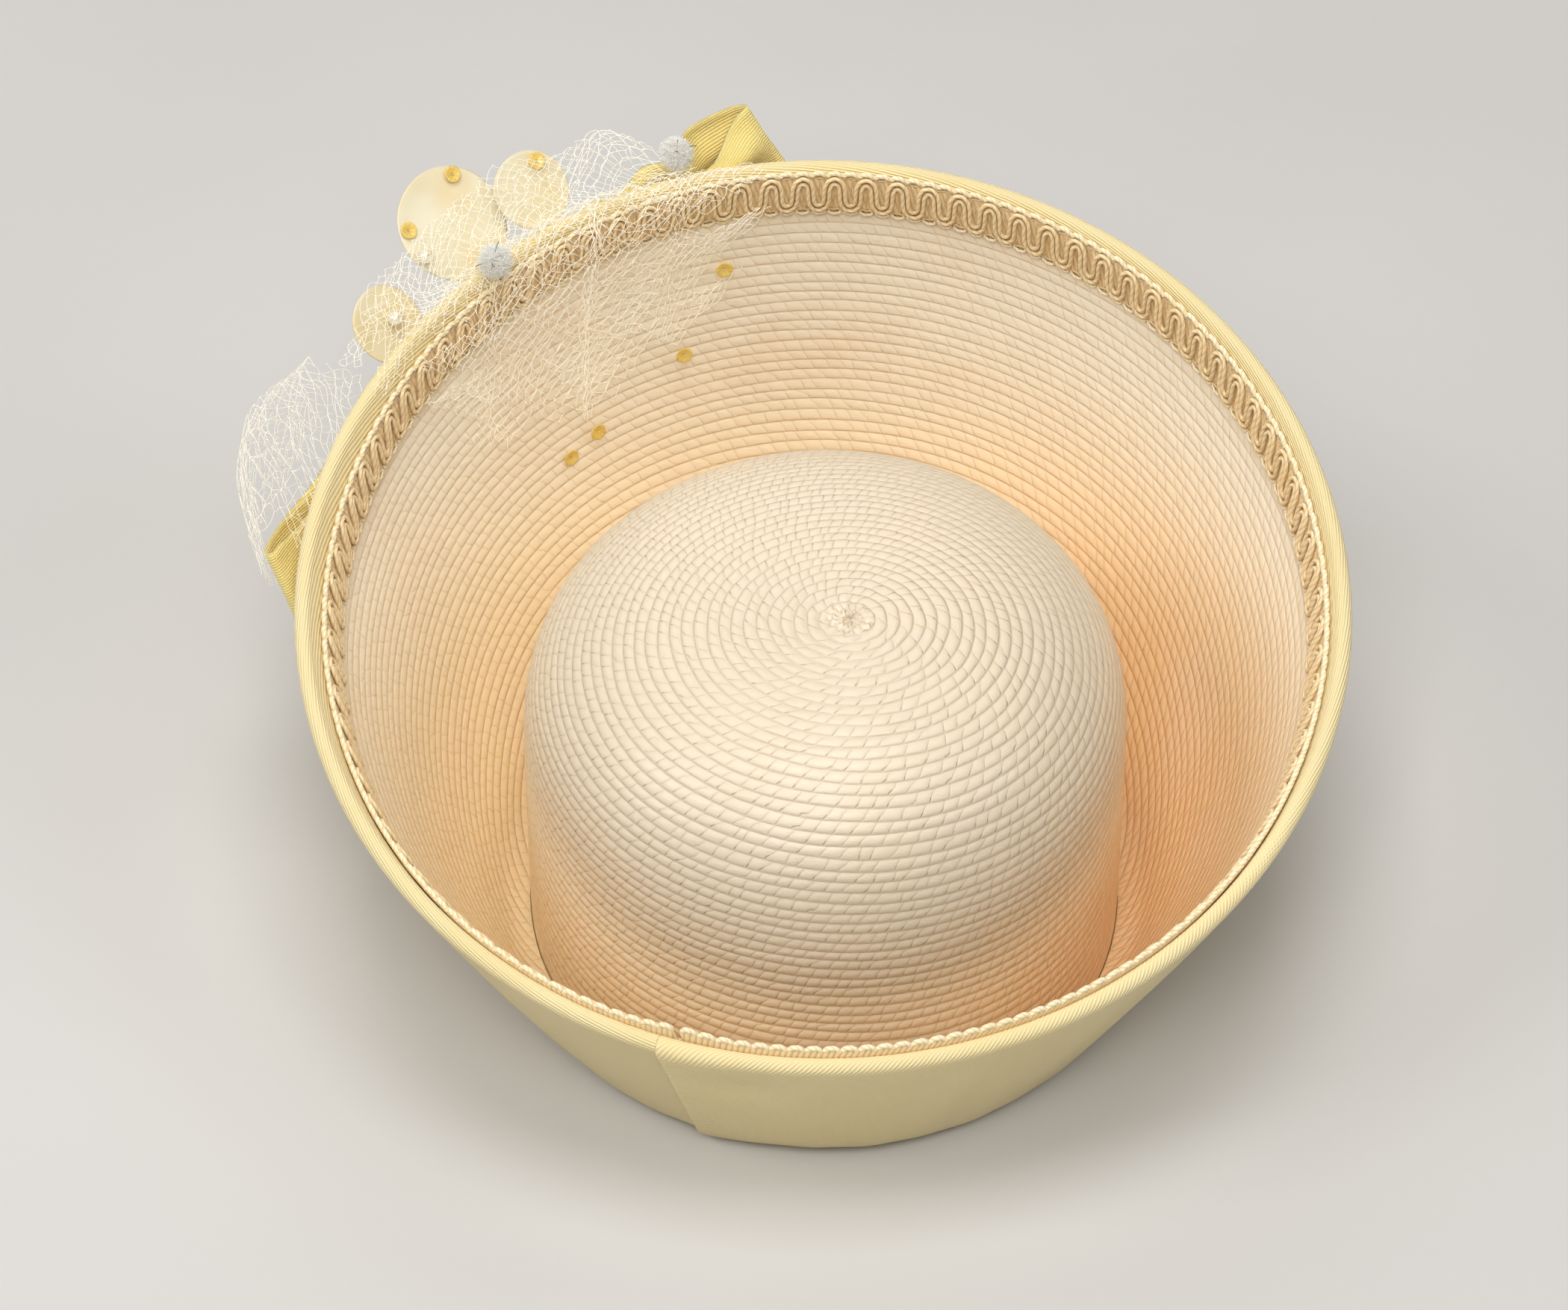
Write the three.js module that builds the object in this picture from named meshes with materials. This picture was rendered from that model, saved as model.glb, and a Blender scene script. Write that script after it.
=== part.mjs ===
// A lady's straw hat: a rounded straw crown in a deep upturned straw brim, faced outside with
// yellow twill, with scroll gimp inside the rim and a bow, petals, pearls and veil at the front left.
// Millimetres, +Z up, +Y to the front of the hat, -X to the wearer's left.
import * as THREE from "three";
import { mergeVertices } from "three/addons/utils/BufferGeometryUtils.js";

// Driving dimensions
const GAP = 0.3;
const STRAW = 1.8;
const CLOTH = 1.2;
const RIBBON = 1.0;
const NET = 1.0;
const STATIONS = 48;

const CROWN = {
  halfWidth: 83.6,
  halfLength: 93.8,
  centreX: 0.6,
  centreY: 3.8,
  height: 122.5,
  tipX: 7,
  tipY: -17,
};
const DOME = {
  back: { depth: 56, power: 3.2 },
  side: { depth: 60, power: 2.7 },
  front: { depth: 62, power: 2.6 },
};
const DOME_RINGS = 9;

// The rim is a circle that rises to the front.
const RIM = { radius: 143.6, centreY: 21, centreZ: 97.6, tilt: 18.8 };
// How the brim leaves the crown: a flat fold, a small turn, then a wall that is partly bowed.
const BOWL = {
  back: { fold: 6, bowed: 0.1, power: 2 },
  side: { fold: 6, bowed: 0.25, power: 2.3 },
  front: { fold: 6, bowed: 0.8, power: 5 },
};
const TURN_HEIGHT = 5;
const TURN_START = 5;
const WALL_LEVELS = [0.12, 0.28, 0.5, 0.75, 1];

// Offsets from the middle of the straw, outwards
const STRAW_FACE = STRAW / 2;
const COVER_IN = STRAW_FACE + GAP;
const COVER_OUT = COVER_IN + CLOTH;
const FLOOR_Z = COVER_OUT;
const ROLL_LIFT = 0.5;

const GIMP = { width: 12.5, thick: 2, scallop: 1.1, repeats: 95, topOff: COVER_OUT + 0.5, footOff: 1.3 };
const GIMP_INSET = { front: 0.8, left: 7, back: 0.6, right: 4 };
const GIMP_OVERLAP = 2;

const PALETTE = {
  straw: 0xe8dcc6,
  twill: 0xecdf9c,
  gimp: 0xdcc69c,
  ribbon: 0xf0dc8c,
  petal: 0xe6dcc0,
  pearl: 0xf4f0e0,
  cotton: 0xe8ece6,
  paillette: 0xd8b850,
  net: 0xe8e0c4,
};

// Angles run from the right of the hat, over the front at a quarter turn, to the left at a half.
const angleOf = (station) => (station / STATIONS) * 2 * Math.PI;

// A value that runs smoothly from the back row of a table, over its side row, to its front row.
function around(table, column, angle) {
  const s = (1 + Math.sin(angle)) / 2;
  const atBack = table.back[column] * (1 - s) * (1 - 2 * s);
  const atSide = table.side[column] * 4 * s * (1 - s);
  const atFront = table.front[column] * s * (2 * s - 1);
  return atBack + atSide + atFront;
}

function crownOutline(angle, inset) {
  const x = CROWN.centreX + (CROWN.halfWidth - inset) * Math.cos(angle);
  const y = CROWN.centreY + (CROWN.halfLength - inset) * Math.sin(angle);
  return new THREE.Vector3(x, y, 0);
}

// One meridian of the dome, from the tip where the braid starts down to the foot.
function crownMeridian(station, inset) {
  const angle = angleOf(station);
  const foot = crownOutline(angle, inset);
  const depth = around(DOME, "depth", angle) - inset;
  const power = around(DOME, "power", angle);
  const top = CROWN.height - inset;
  const points = [];
  for (let ring = 0; ring <= DOME_RINGS; ring++) {
    const turn = (ring / DOME_RINGS) * (Math.PI / 2);
    const out = ring === DOME_RINGS ? 1 : Math.sin(turn) ** (2 / power);
    const rise = ring === DOME_RINGS ? 0 : Math.cos(turn) ** (2 / power);
    const x = THREE.MathUtils.lerp(CROWN.tipX, foot.x, out);
    const y = THREE.MathUtils.lerp(CROWN.tipY, foot.y, out);
    points.push(new THREE.Vector3(x, y, top - depth * (1 - rise)));
  }
  points.push(new THREE.Vector3(foot.x, foot.y, FLOOR_Z - COVER_IN + GAP));
  return points;
}

function rimPoint(angle) {
  const tilt = THREE.MathUtils.degToRad(RIM.tilt);
  const forward = RIM.radius * Math.sin(angle);
  return new THREE.Vector3(
    RIM.radius * Math.cos(angle),
    RIM.centreY + forward * Math.cos(tilt),
    RIM.centreZ + forward * Math.sin(tilt),
  );
}

// The middle of the straw brim. Stage 0 to 1 is the flat fold, 1 to 2 the turn, 2 to 3 the wall.
function brimMiddle(angle, stage) {
  const foot = crownOutline(angle, 0);
  const rim = rimPoint(angle);
  const away = new THREE.Vector3(rim.x - foot.x, rim.y - foot.y, 0);
  const reach = away.length();
  away.normalize();
  const height = rim.z - FLOOR_Z;
  const fold = around(BOWL, "fold", angle);
  const bowed = around(BOWL, "bowed", angle);
  const power = around(BOWL, "power", angle);
  const spread = reach - fold;
  const share = (v) => bowed * (1 - (1 - v) ** power) + (1 - bowed) * v;
  const steepness = (v) => bowed * power * (1 - v) ** (power - 1) + (1 - bowed);
  const startLevel = TURN_HEIGHT / height;
  const turnEnd = fold + spread * share(startLevel);
  const corner = turnEnd - (TURN_HEIGHT * spread * steepness(startLevel)) / height;
  const turnStart = corner - TURN_START;
  let out;
  let up;
  if (stage <= 1) {
    out = THREE.MathUtils.lerp(GAP, turnStart, stage);
    up = 0;
  } else if (stage <= 2) {
    const t = stage - 1;
    out = (1 - t) * (1 - t) * turnStart + 2 * t * (1 - t) * corner + t * t * turnEnd;
    up = t * t * TURN_HEIGHT;
  } else {
    const v = THREE.MathUtils.lerp(startLevel, 1, stage - 2);
    out = fold + spread * share(v);
    up = v * height;
  }
  return new THREE.Vector3(foot.x + away.x * out, foot.y + away.y * out, FLOOR_Z + up);
}

// The way out of the bowl, square to its middle surface.
function brimNormal(angle, stage) {
  const step = 1e-3;
  const low = Math.max(0, stage - step);
  const high = Math.min(3, stage + step);
  const along = brimMiddle(angle, high).sub(brimMiddle(angle, low));
  const round = brimMiddle(angle + step, stage).sub(brimMiddle(angle - step, stage));
  return round.cross(along).normalize();
}

const BRIM_STAGES = [0, 1, 1.4, 1.7, 2].concat(WALL_LEVELS.map((level) => 2 + level));

// Each station's middle points and normals, worked out once.
const brimTable = [];
for (let station = 0; station < STATIONS; station++) {
  const angle = angleOf(station);
  brimTable.push(
    BRIM_STAGES.map((stage) => ({
      point: brimMiddle(angle, stage),
      normal: brimNormal(angle, stage),
    })),
  );
}

const offsetPoint = (row, off) => row.point.clone().addScaledVector(row.normal, off);

// A point on the brim's wall: how far down from the rim, and how far out from the straw's middle.
function wallAtStation(station, down, off) {
  const rows = brimTable[((station % STATIONS) + STATIONS) % STATIONS];
  let upper = rows.length - 1;
  let left = down;
  let high = offsetPoint(rows[upper], off);
  let low = offsetPoint(rows[upper - 1], off);
  while (left > high.distanceTo(low) && upper > 2) {
    left -= high.distanceTo(low);
    upper -= 1;
    high = low;
    low = offsetPoint(rows[upper - 1], off);
  }
  return high.clone().lerp(low, left / high.distanceTo(low));
}

function wall(station, down, off) {
  const whole = Math.floor(station);
  const first = wallAtStation(whole, down, off);
  return first.lerp(wallAtStation(whole + 1, down, off), station - whole);
}

// Collects triangles and turns them into one closed mesh.
class Skin {
  constructor() {
    this.numbers = [];
  }
  triangle(a, b, c) {
    for (const p of [a, b, c]) this.numbers.push(p.x, p.y, p.z);
  }
  quad(a, b, c, d) {
    this.triangle(a, b, c);
    this.triangle(a, c, d);
  }
  // Faces that lie over each other are split the same way: from the lower left to the upper right.
  wallQuad(a, b, c, d) {
    if (b.z >= a.z) this.quad(a, b, c, d);
    else this.quad(b, c, d, a);
  }
  geometry() {
    const made = new THREE.BufferGeometry();
    made.setAttribute("position", new THREE.Float32BufferAttribute(this.numbers, 3));
    const merged = mergeVertices(made, 1e-4);
    merged.computeVertexNormals();
    return merged;
  }
}

// A ring solid: closed sections, one after another, joined back to the first.
function ringOfSections(sections) {
  const skin = new Skin();
  const count = sections.length;
  for (let i = 0; i < count; i++) {
    const here = sections[i];
    const next = sections[(i + 1) % count];
    for (let j = 0; j < here.length; j++) {
      const k = (j + 1) % here.length;
      skin.wallQuad(here[j], here[k], next[k], next[j]);
    }
  }
  return skin.geometry();
}

const hat = new THREE.Group();

function add(name, geometry, color, roughness) {
  const material = new THREE.MeshStandardMaterial({ color, roughness, metalness: 0 });
  const mesh = new THREE.Mesh(geometry, material);
  mesh.name = name;
  hat.add(mesh);
  return mesh;
}

// Crown: an outer and an inner dome that meet in a flat foot
function crownGeometry() {
  const skin = new Skin();
  for (let station = 0; station < STATIONS; station++) {
    const outer = crownMeridian(station, 0);
    const outerNext = crownMeridian((station + 1) % STATIONS, 0);
    const inner = crownMeridian(station, STRAW);
    const innerNext = crownMeridian((station + 1) % STATIONS, STRAW);
    const last = outer.length - 1;
    skin.triangle(outer[0], outer[1], outerNext[1]);
    skin.triangle(inner[0], innerNext[1], inner[1]);
    for (let j = 1; j < last; j++) {
      skin.quad(outer[j], outer[j + 1], outerNext[j + 1], outerNext[j]);
      skin.quad(inner[j], innerNext[j], innerNext[j + 1], inner[j + 1]);
    }
    skin.quad(outer[last], inner[last], innerNext[last], outerNext[last]);
  }
  return skin.geometry();
}
add("crown", crownGeometry(), PALETTE.straw, 0.55);

// Brim: the straw bowl
function brimSection(station) {
  const rows = brimTable[station];
  const inside = rows.map((row) => offsetPoint(row, -STRAW_FACE));
  const outside = rows.map((row) => offsetPoint(row, STRAW_FACE));
  return inside.concat(outside.reverse());
}
const stationList = Array.from({ length: STATIONS }, (_, station) => station);
add("brim", ringOfSections(stationList.map(brimSection)), PALETTE.straw, 0.5);

// How far the gimp's upper edge lies below the top of the rim
function gimpInset(angle) {
  const across = Math.cos(angle);
  const forward = Math.sin(angle);
  const side = across > 0 ? GIMP_INSET.right : GIMP_INSET.left;
  const end = forward > 0 ? GIMP_INSET.front : GIMP_INSET.back;
  return side * across * across + end * forward * forward;
}

// Brim cover: twill from under the crown's foot, up the outside and rolled over the rim
function coverSection(station) {
  const rows = brimTable[station];
  const rim = rows[rows.length - 1];
  const below = rows[rows.length - 2];
  const up = rim.point.clone().sub(below.point).normalize();
  const centre = rim.point.clone().addScaledVector(up, ROLL_LIFT);
  const legLength = gimpInset(angleOf(station)) + GIMP_OVERLAP;
  const foot = crownOutline(angleOf(station), STRAW);
  const around180 = (radius, steps) => {
    const points = [];
    for (let step = 0; step <= steps; step++) {
      const turn = (Math.PI * step) / steps;
      const point = centre.clone();
      point.addScaledVector(rim.normal, radius * Math.cos(turn));
      point.addScaledVector(up, radius * Math.sin(turn));
      points.push(point);
    }
    return points;
  };
  const outside = rows.map((row) => offsetPoint(row, COVER_OUT));
  const inside = rows.map((row) => offsetPoint(row, COVER_IN));
  outside.shift();
  inside.shift();
  outside.pop();
  inside.pop();
  return [
    new THREE.Vector3(foot.x, foot.y, FLOOR_Z - COVER_IN),
    new THREE.Vector3(foot.x, foot.y, 0),
    ...outside,
    ...around180(COVER_OUT, 5),
    wallAtStation(station, legLength, -COVER_OUT),
    wallAtStation(station, legLength, -COVER_IN),
    ...around180(COVER_IN, 3).reverse(),
    ...inside.reverse(),
  ].reverse();
}
add("brim_cover", ringOfSections(stationList.map(coverSection)), PALETTE.twill, 0.8);

// Gimp: a scalloped band that lies on the turned-in edge of the twill
function gimpSection(column) {
  const station = (column / (2 * GIMP.repeats)) * STATIONS;
  const bump = column % 2 === 0 ? 0 : GIMP.scallop;
  const top = gimpInset(angleOf(station)) + GIMP.scallop - bump;
  const foot = top + GIMP.width - 2 * GIMP.scallop + 2 * bump;
  return [
    wall(station, top, -GIMP.topOff - GIMP.thick),
    wall(station, foot, -GIMP.footOff - GIMP.thick),
    wall(station, foot, -GIMP.footOff),
    wall(station, top, -GIMP.topOff),
  ].reverse();
}
const gimpColumns = Array.from({ length: 2 * GIMP.repeats }, (_, column) => column);
add("gimp_braid", ringOfSections(gimpColumns.map(gimpSection)), PALETTE.gimp, 0.9);

// Ribbon bow
// Places on the wall are told by their run along the rim to the left of the knot, and their rise.
const BOW = { station: 18, down: 50, knotHalf: 5, knotWide: 17, knotThick: 9, back: 3.4 };
const RUN_PER_STATION = (2 * Math.PI * (RIM.radius + 4)) / STATIONS;
const LOOPS = {
  bow_loop_left: { side: 1, length: 112, lean: 15, width: 46, slant: -2, swell: 13, lift: 9 },
  bow_loop_right: { side: -1, length: 116, lean: 23, width: 46, slant: -5, swell: 14, lift: 6 },
};
const LOOP_STEPS = 9;
const LOOP_BANDS = 2;
const LOOP_TIP = 3;
const PINCH = 0.36;
const PINCH_END = 0.5;

function onWall(run, rise, off) {
  return wall(BOW.station + run / RUN_PER_STATION, BOW.down - rise, off);
}

// The ribbon's middle line in a loop: out along the wall, round at the tip and back further out
function loopLine(loop) {
  const start = BOW.knotHalf + GAP + RIBBON / 2;
  const end = loop.length - RIBBON / 2;
  const near = [];
  const far = [];
  for (let step = 0; step <= LOOP_STEPS; step++) {
    const t = step / LOOP_STEPS;
    const reach = THREE.MathUtils.lerp(start, end, t);
    const off = BOW.back + loop.lift * t * t;
    const belly = loop.swell * Math.sin(Math.PI * Math.sqrt(t)) ** 0.8;
    near.push(new THREE.Vector2(reach, off));
    far.push(new THREE.Vector2(reach, off + THREE.MathUtils.lerp(6, LOOP_TIP, t) + belly));
  }
  return near.concat(far.reverse());
}

// The same line moved sideways, inwards or outwards
function besideLine(line, distance) {
  const count = line.length;
  return line.map((point, k) => {
    const before = line[(k + count - 1) % count];
    const after = line[(k + 1) % count];
    const back = point.clone().sub(before).normalize();
    const ahead = after.clone().sub(point).normalize();
    const middle = back.clone().add(ahead).normalize();
    const stretch = distance / Math.max(0.5, middle.dot(ahead));
    return new THREE.Vector2(point.x + middle.y * stretch, point.y - middle.x * stretch);
  });
}

// Gathered at the knot, full width from halfway, leaning up to the tip
function loopPoint(loop, flat, across) {
  const t = (flat.x - BOW.knotHalf) / (loop.length - BOW.knotHalf);
  const open = THREE.MathUtils.smoothstep(t, 0, PINCH_END);
  const spread = THREE.MathUtils.lerp(PINCH, 1, open) * across * loop.width;
  const lean = THREE.MathUtils.degToRad(loop.lean);
  const reach = flat.x + across * loop.slant * open;
  const run = reach * Math.cos(lean * open) - spread * Math.sin(lean * open);
  const rise = flat.x * Math.sin(lean) * t ** 0.15 + spread * Math.cos(lean * open);
  return onWall(loop.side * run, rise, flat.y);
}

function loopGeometry(loop) {
  const line = loopLine(loop);
  const outer = besideLine(line, RIBBON / 2);
  const inner = besideLine(line, -RIBBON / 2);
  const sections = line.map((_, k) => {
    const section = [];
    for (let band = 0; band <= LOOP_BANDS; band++) {
      section.push(loopPoint(loop, outer[k], band / LOOP_BANDS - 0.5));
    }
    for (let band = LOOP_BANDS; band >= 0; band--) {
      section.push(loopPoint(loop, inner[k], band / LOOP_BANDS - 0.5));
    }
    return loop.side > 0 ? section : section.reverse();
  });
  return ringOfSections(sections);
}
for (const [name, loop] of Object.entries(LOOPS)) {
  add(name, loopGeometry(loop), PALETTE.ribbon, 0.7);
}

// The knot is a short band across the middle, rounded in front.
function knotGeometry() {
  const sections = [];
  const profile = [
    { off: 0, wide: 1 },
    { off: 0.55, wide: 1 },
    { off: 0.9, wide: 0.75 },
    { off: 1, wide: 0.35 },
    { off: 1, wide: -0.35 },
    { off: 0.9, wide: -0.75 },
    { off: 0.55, wide: -1 },
    { off: 0, wide: -1 },
  ];
  const skin = new Skin();
  for (const run of [-BOW.knotHalf, 0, BOW.knotHalf]) {
    const fullness = run === 0 ? 1.15 : 1;
    sections.push(
      profile.map((row) => {
        const off = COVER_OUT + GAP + row.off * BOW.knotThick * fullness;
        return onWall(run, (row.wide * BOW.knotWide) / 2, off);
      }),
    );
  }
  for (let i = 0; i < 2; i++) {
    for (let j = 0; j < profile.length; j++) {
      const k = (j + 1) % profile.length;
      skin.quad(sections[i][j], sections[i][k], sections[i + 1][k], sections[i + 1][j]);
    }
  }
  for (let j = 1; j < profile.length - 1; j++) {
    skin.triangle(sections[0][0], sections[0][j + 1], sections[0][j]);
    skin.triangle(sections[2][0], sections[2][j], sections[2][j + 1]);
  }
  return skin.geometry();
}
add("bow_knot", knotGeometry(), PALETTE.ribbon, 0.7);

// Petals: round flat discs that lean out over the rim. Left and up are measured on the disc.
const PETAL_THICK = 1;
const PETAL_SIDES = 20;
const PETALS = [
  { station: 16.35, rise: 9.2, seat: 2.2, radius: 11.5, lean: 34 },
  { station: 17.6, rise: 11.2, seat: 1.8, radius: 17, lean: 36 },
  { station: 19.2, rise: 2.6, seat: 0.5, radius: 11.7, lean: 32 },
];

function petalFrame(petal) {
  const lean = THREE.MathUtils.degToRad(petal.lean);
  const seat = COVER_OUT + GAP + PETAL_THICK / 2 + petal.seat;
  const off = seat + petal.radius * Math.sin(lean);
  const centre = wall(petal.station, -petal.rise, off);
  const up = wall(petal.station, -petal.rise - 1, off).sub(centre).normalize();
  const out = wall(petal.station, -petal.rise, off + 1).sub(centre).normalize();
  const rising = up.clone().multiplyScalar(Math.cos(lean)).addScaledVector(out, Math.sin(lean));
  const left = rising.clone().cross(out).normalize();
  const facing = rising.clone().cross(left).normalize();
  return { centre, left, rising, facing };
}

// A round solid with its axis along Y, laid flat against a petal or the brim
function laidFlat(geometry, centre, left, facing) {
  const along = new THREE.Vector3().crossVectors(left, facing).normalize();
  const turn = new THREE.Matrix4().makeBasis(left, facing, along);
  return geometry.applyMatrix4(turn).translate(centre.x, centre.y, centre.z);
}

const petalFrames = PETALS.map(petalFrame);
PETALS.forEach((petal, k) => {
  const { centre, left, facing } = petalFrames[k];
  const disc = new THREE.CylinderGeometry(petal.radius, petal.radius, PETAL_THICK, PETAL_SIDES);
  add(`petal_${k + 1}`, laidFlat(disc, centre, left, facing), PALETTE.petal, 0.3);
});

// What is sewn to the petals' inner faces
const PEARL = { radius: 2.3, sides: 12, rings: 6 };
const PAILLETTE = { radius: 2.5, thick: 0.8, sides: 10 };
const ON_PETALS = [
  { name: "pearl_1", petal: 1, left: 13.5, up: -6, pearl: true },
  { name: "pearl_2", petal: 2, left: -1.5, up: 0.5, pearl: true },
  { name: "paillette_1", petal: 0, left: -4, up: 7.4, pearl: false },
  { name: "paillette_2", petal: 1, left: -6.3, up: 13, pearl: false },
  { name: "paillette_3", petal: 1, left: 14, up: 3, pearl: false },
];
for (const item of ON_PETALS) {
  const { centre, left, rising, facing } = petalFrames[item.petal];
  const half = item.pearl ? PEARL.radius : PAILLETTE.thick / 2;
  const place = centre.clone();
  place.addScaledVector(left, item.left).addScaledVector(rising, item.up);
  place.addScaledVector(facing, PETAL_THICK / 2 + GAP + half);
  if (item.pearl) {
    const bead = new THREE.SphereGeometry(PEARL.radius, PEARL.sides, PEARL.rings);
    add(item.name, laidFlat(bead, place, left, facing), PALETTE.pearl, 0.2);
  } else {
    const { radius, thick, sides } = PAILLETTE;
    const plate = new THREE.CylinderGeometry(radius, radius, thick, sides);
    add(item.name, laidFlat(plate, place, left, facing), PALETTE.paillette, 0.3);
  }
}

// Veil: net as a lattice of strands. A path crosses the net from edge to edge in steps of
// how far down from the rim and how far out it lies.
const STRAND_SHARE = 0.055;
const ROLL_CLEAR = COVER_OUT + GAP + NET / 2 + 0.5;

const VEIL_INNER = { from: 12.8, to: 19.6, cells: 8, shortest: 22, longest: 66 };
function innerPath(u) {
  const station = THREE.MathUtils.lerp(VEIL_INNER.from, VEIL_INNER.to, u);
  const top = gimpInset(angleOf(station));
  const swing = Math.sin(Math.PI * u) ** 0.8;
  const hem = THREE.MathUtils.lerp(VEIL_INNER.shortest, VEIL_INNER.longest, swing);
  const pastGimp = top + GIMP.width + 1;
  const gimpFace = GIMP.topOff + GIMP.thick + GAP + NET / 2;
  const strawFace = STRAW_FACE + GAP + NET / 2 + 0.3;
  const steps = [
    { down: 0, off: ROLL_CLEAR + 0.4 },
    { down: -ROLL_CLEAR - 0.3, off: ROLL_CLEAR - 0.3 },
    { down: -ROLL_CLEAR - 0.5, off: -ROLL_CLEAR + 0.7 },
    { down: top, off: -gimpFace - 0.5 },
    { down: pastGimp, off: -gimpFace + 1 },
  ];
  for (const share of [0.33, 0.67, 1]) {
    steps.push({ down: THREE.MathUtils.lerp(pastGimp, hem, share), off: -strawFace });
  }
  return { station, steps };
}

// The puff starts on the rim, stands up and out, and falls over the left loop of the bow.
const VEIL_PUFF = { from: 20.1, to: 23.2, cells: 5, peak: 0.62 };
const PUFF_STEPS = [
  { down: 1, off: 3.4 },
  { down: -14, off: 10 },
  { down: -20, off: 19 },
  { down: -9, off: 26 },
  { down: 6, off: 27 },
  { down: 20, off: 26.5 },
];
function puffPath(u) {
  const station = THREE.MathUtils.lerp(VEIL_PUFF.from, VEIL_PUFF.to, u);
  const rising = THREE.MathUtils.smoothstep(u, 0, VEIL_PUFF.peak);
  const falling = 1 - THREE.MathUtils.smoothstep(u, VEIL_PUFF.peak, 1);
  const height = u < VEIL_PUFF.peak ? 0.5 + 0.6 * rising : 0.25 + 0.85 * falling;
  const reach = u < VEIL_PUFF.peak ? 1 : 0.72 + 0.28 * falling;
  const steps = PUFF_STEPS.map((row, k) => ({
    down: row.down < 0 ? row.down * height : row.down,
    off: k === 0 ? row.off : row.off * reach,
  }));
  return { station, steps };
}

function besideSteps(steps, distance) {
  return steps.map((row, k) => {
    const before = steps[Math.max(0, k - 1)];
    const after = steps[Math.min(steps.length - 1, k + 1)];
    const away = new THREE.Vector2(after.down - before.down, after.off - before.off).normalize();
    return { down: row.down + away.y * distance, off: row.off - away.x * distance };
  });
}

function netPoint(path, u, v, side) {
  const { station, steps } = path(u);
  const line = besideSteps(steps, (side * NET) / 2);
  const k = Math.min(line.length - 2, Math.floor(v));
  const down = THREE.MathUtils.lerp(line[k].down, line[k + 1].down, v - k);
  const off = THREE.MathUtils.lerp(line[k].off, line[k + 1].off, v - k);
  return wall(station, down, off);
}

function netGeometry(path, cells) {
  const skin = new Skin();
  const rows = path(0).steps.length - 1;
  const corners = [
    [0, 0],
    [1, 0],
    [1, 1],
    [0, 1],
  ];
  for (let i = 0; i < cells; i++) {
    for (let j = 0; j < rows; j++) {
      const at = (du, dv, side) => netPoint(path, (i + du) / cells, j + dv, side);
      const inset = (share) => THREE.MathUtils.lerp(STRAND_SHARE, 1 - STRAND_SHARE, share);
      const rim = (side) => corners.map(([u, v]) => at(u, v, side));
      const hole = (side) => corners.map(([u, v]) => at(inset(u), inset(v), side));
      const faces = { top: rim(1), topHole: hole(1), under: rim(-1), underHole: hole(-1) };
      const edgeOpen = [j === 0, i === cells - 1, j === rows - 1, i === 0];
      for (let k = 0; k < 4; k++) {
        const n = (k + 1) % 4;
        skin.quad(faces.top[k], faces.top[n], faces.topHole[n], faces.topHole[k]);
        skin.quad(faces.underHole[k], faces.underHole[n], faces.under[n], faces.under[k]);
        skin.quad(faces.topHole[k], faces.topHole[n], faces.underHole[n], faces.underHole[k]);
        if (edgeOpen[k]) skin.quad(faces.under[k], faces.under[n], faces.top[n], faces.top[k]);
      }
    }
  }
  return skin.geometry();
}
add("veil_inner", netGeometry(innerPath, VEIL_INNER.cells), PALETTE.net, 0.8);
add("veil_puff", netGeometry(puffPath, VEIL_PUFF.cells), PALETTE.net, 0.8);

// Cotton pompoms on the rolled rim, and paillettes on the net inside the brim
const POMPOM = { radius: 4, sides: 12, rings: 6 };
const POMPOMS = [
  { station: 17.6, off: -6.2 },
  { station: 14.2, off: 3.6 },
];
POMPOMS.forEach((pompom, k) => {
  const away = ROLL_CLEAR + NET / 2 + 1 + POMPOM.radius;
  const rise = ROLL_LIFT + Math.sqrt(away * away - pompom.off * pompom.off);
  const centre = wall(pompom.station, -rise, pompom.off);
  const ball = new THREE.SphereGeometry(POMPOM.radius, POMPOM.sides, POMPOM.rings);
  add(`pompom_${k + 1}`, ball.translate(centre.x, centre.y, centre.z), PALETTE.cotton, 1);
});

const INSIDE_PAILLETTES = [
  { station: 13.58, down: 29, onNet: true },
  { station: 14.33, down: 55, onNet: true },
  { station: 16.05, down: 68, onNet: true },
  { station: 16.6, down: 72, onNet: false },
];
INSIDE_PAILLETTES.forEach((place, k) => {
  const net = place.onNet ? NET + 3 * GAP : 0;
  const off = -(STRAW_FACE + GAP + net + PAILLETTE.thick / 2 + 0.1);
  const centre = wall(place.station, place.down, off);
  const left = wall(place.station + 0.1, place.down, off).sub(centre).normalize();
  const inward = wall(place.station, place.down, off - 1).sub(centre).normalize();
  const { radius, thick, sides } = PAILLETTE;
  const plate = new THREE.CylinderGeometry(radius, radius, thick, sides);
  add(`paillette_${k + 4}`, laidFlat(plate, centre, left, inward), PALETTE.paillette, 0.3);
});

// The origin is the middle of the underside of the hat's box.
const whole = new THREE.Box3().setFromObject(hat);
const middle = whole.getCenter(new THREE.Vector3());
hat.position.set(-middle.x, -middle.y, -whole.min.z);

export default hat;
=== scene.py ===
"""The looks of a lady's straw hat: rows of sewn straw braid, a twill facing with a padded rim,
scroll gimp, and a ribbon bow with petals, pearls, pompoms, paillettes and a fine veil.

Sizes are in millimetres in the hat's own frame until in_frame() turns them into metres. The floor, the
lights, the relief of the materials and where painted warm shade goes on the straw are in metres.
"""

import math
from functools import partialmethod

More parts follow.
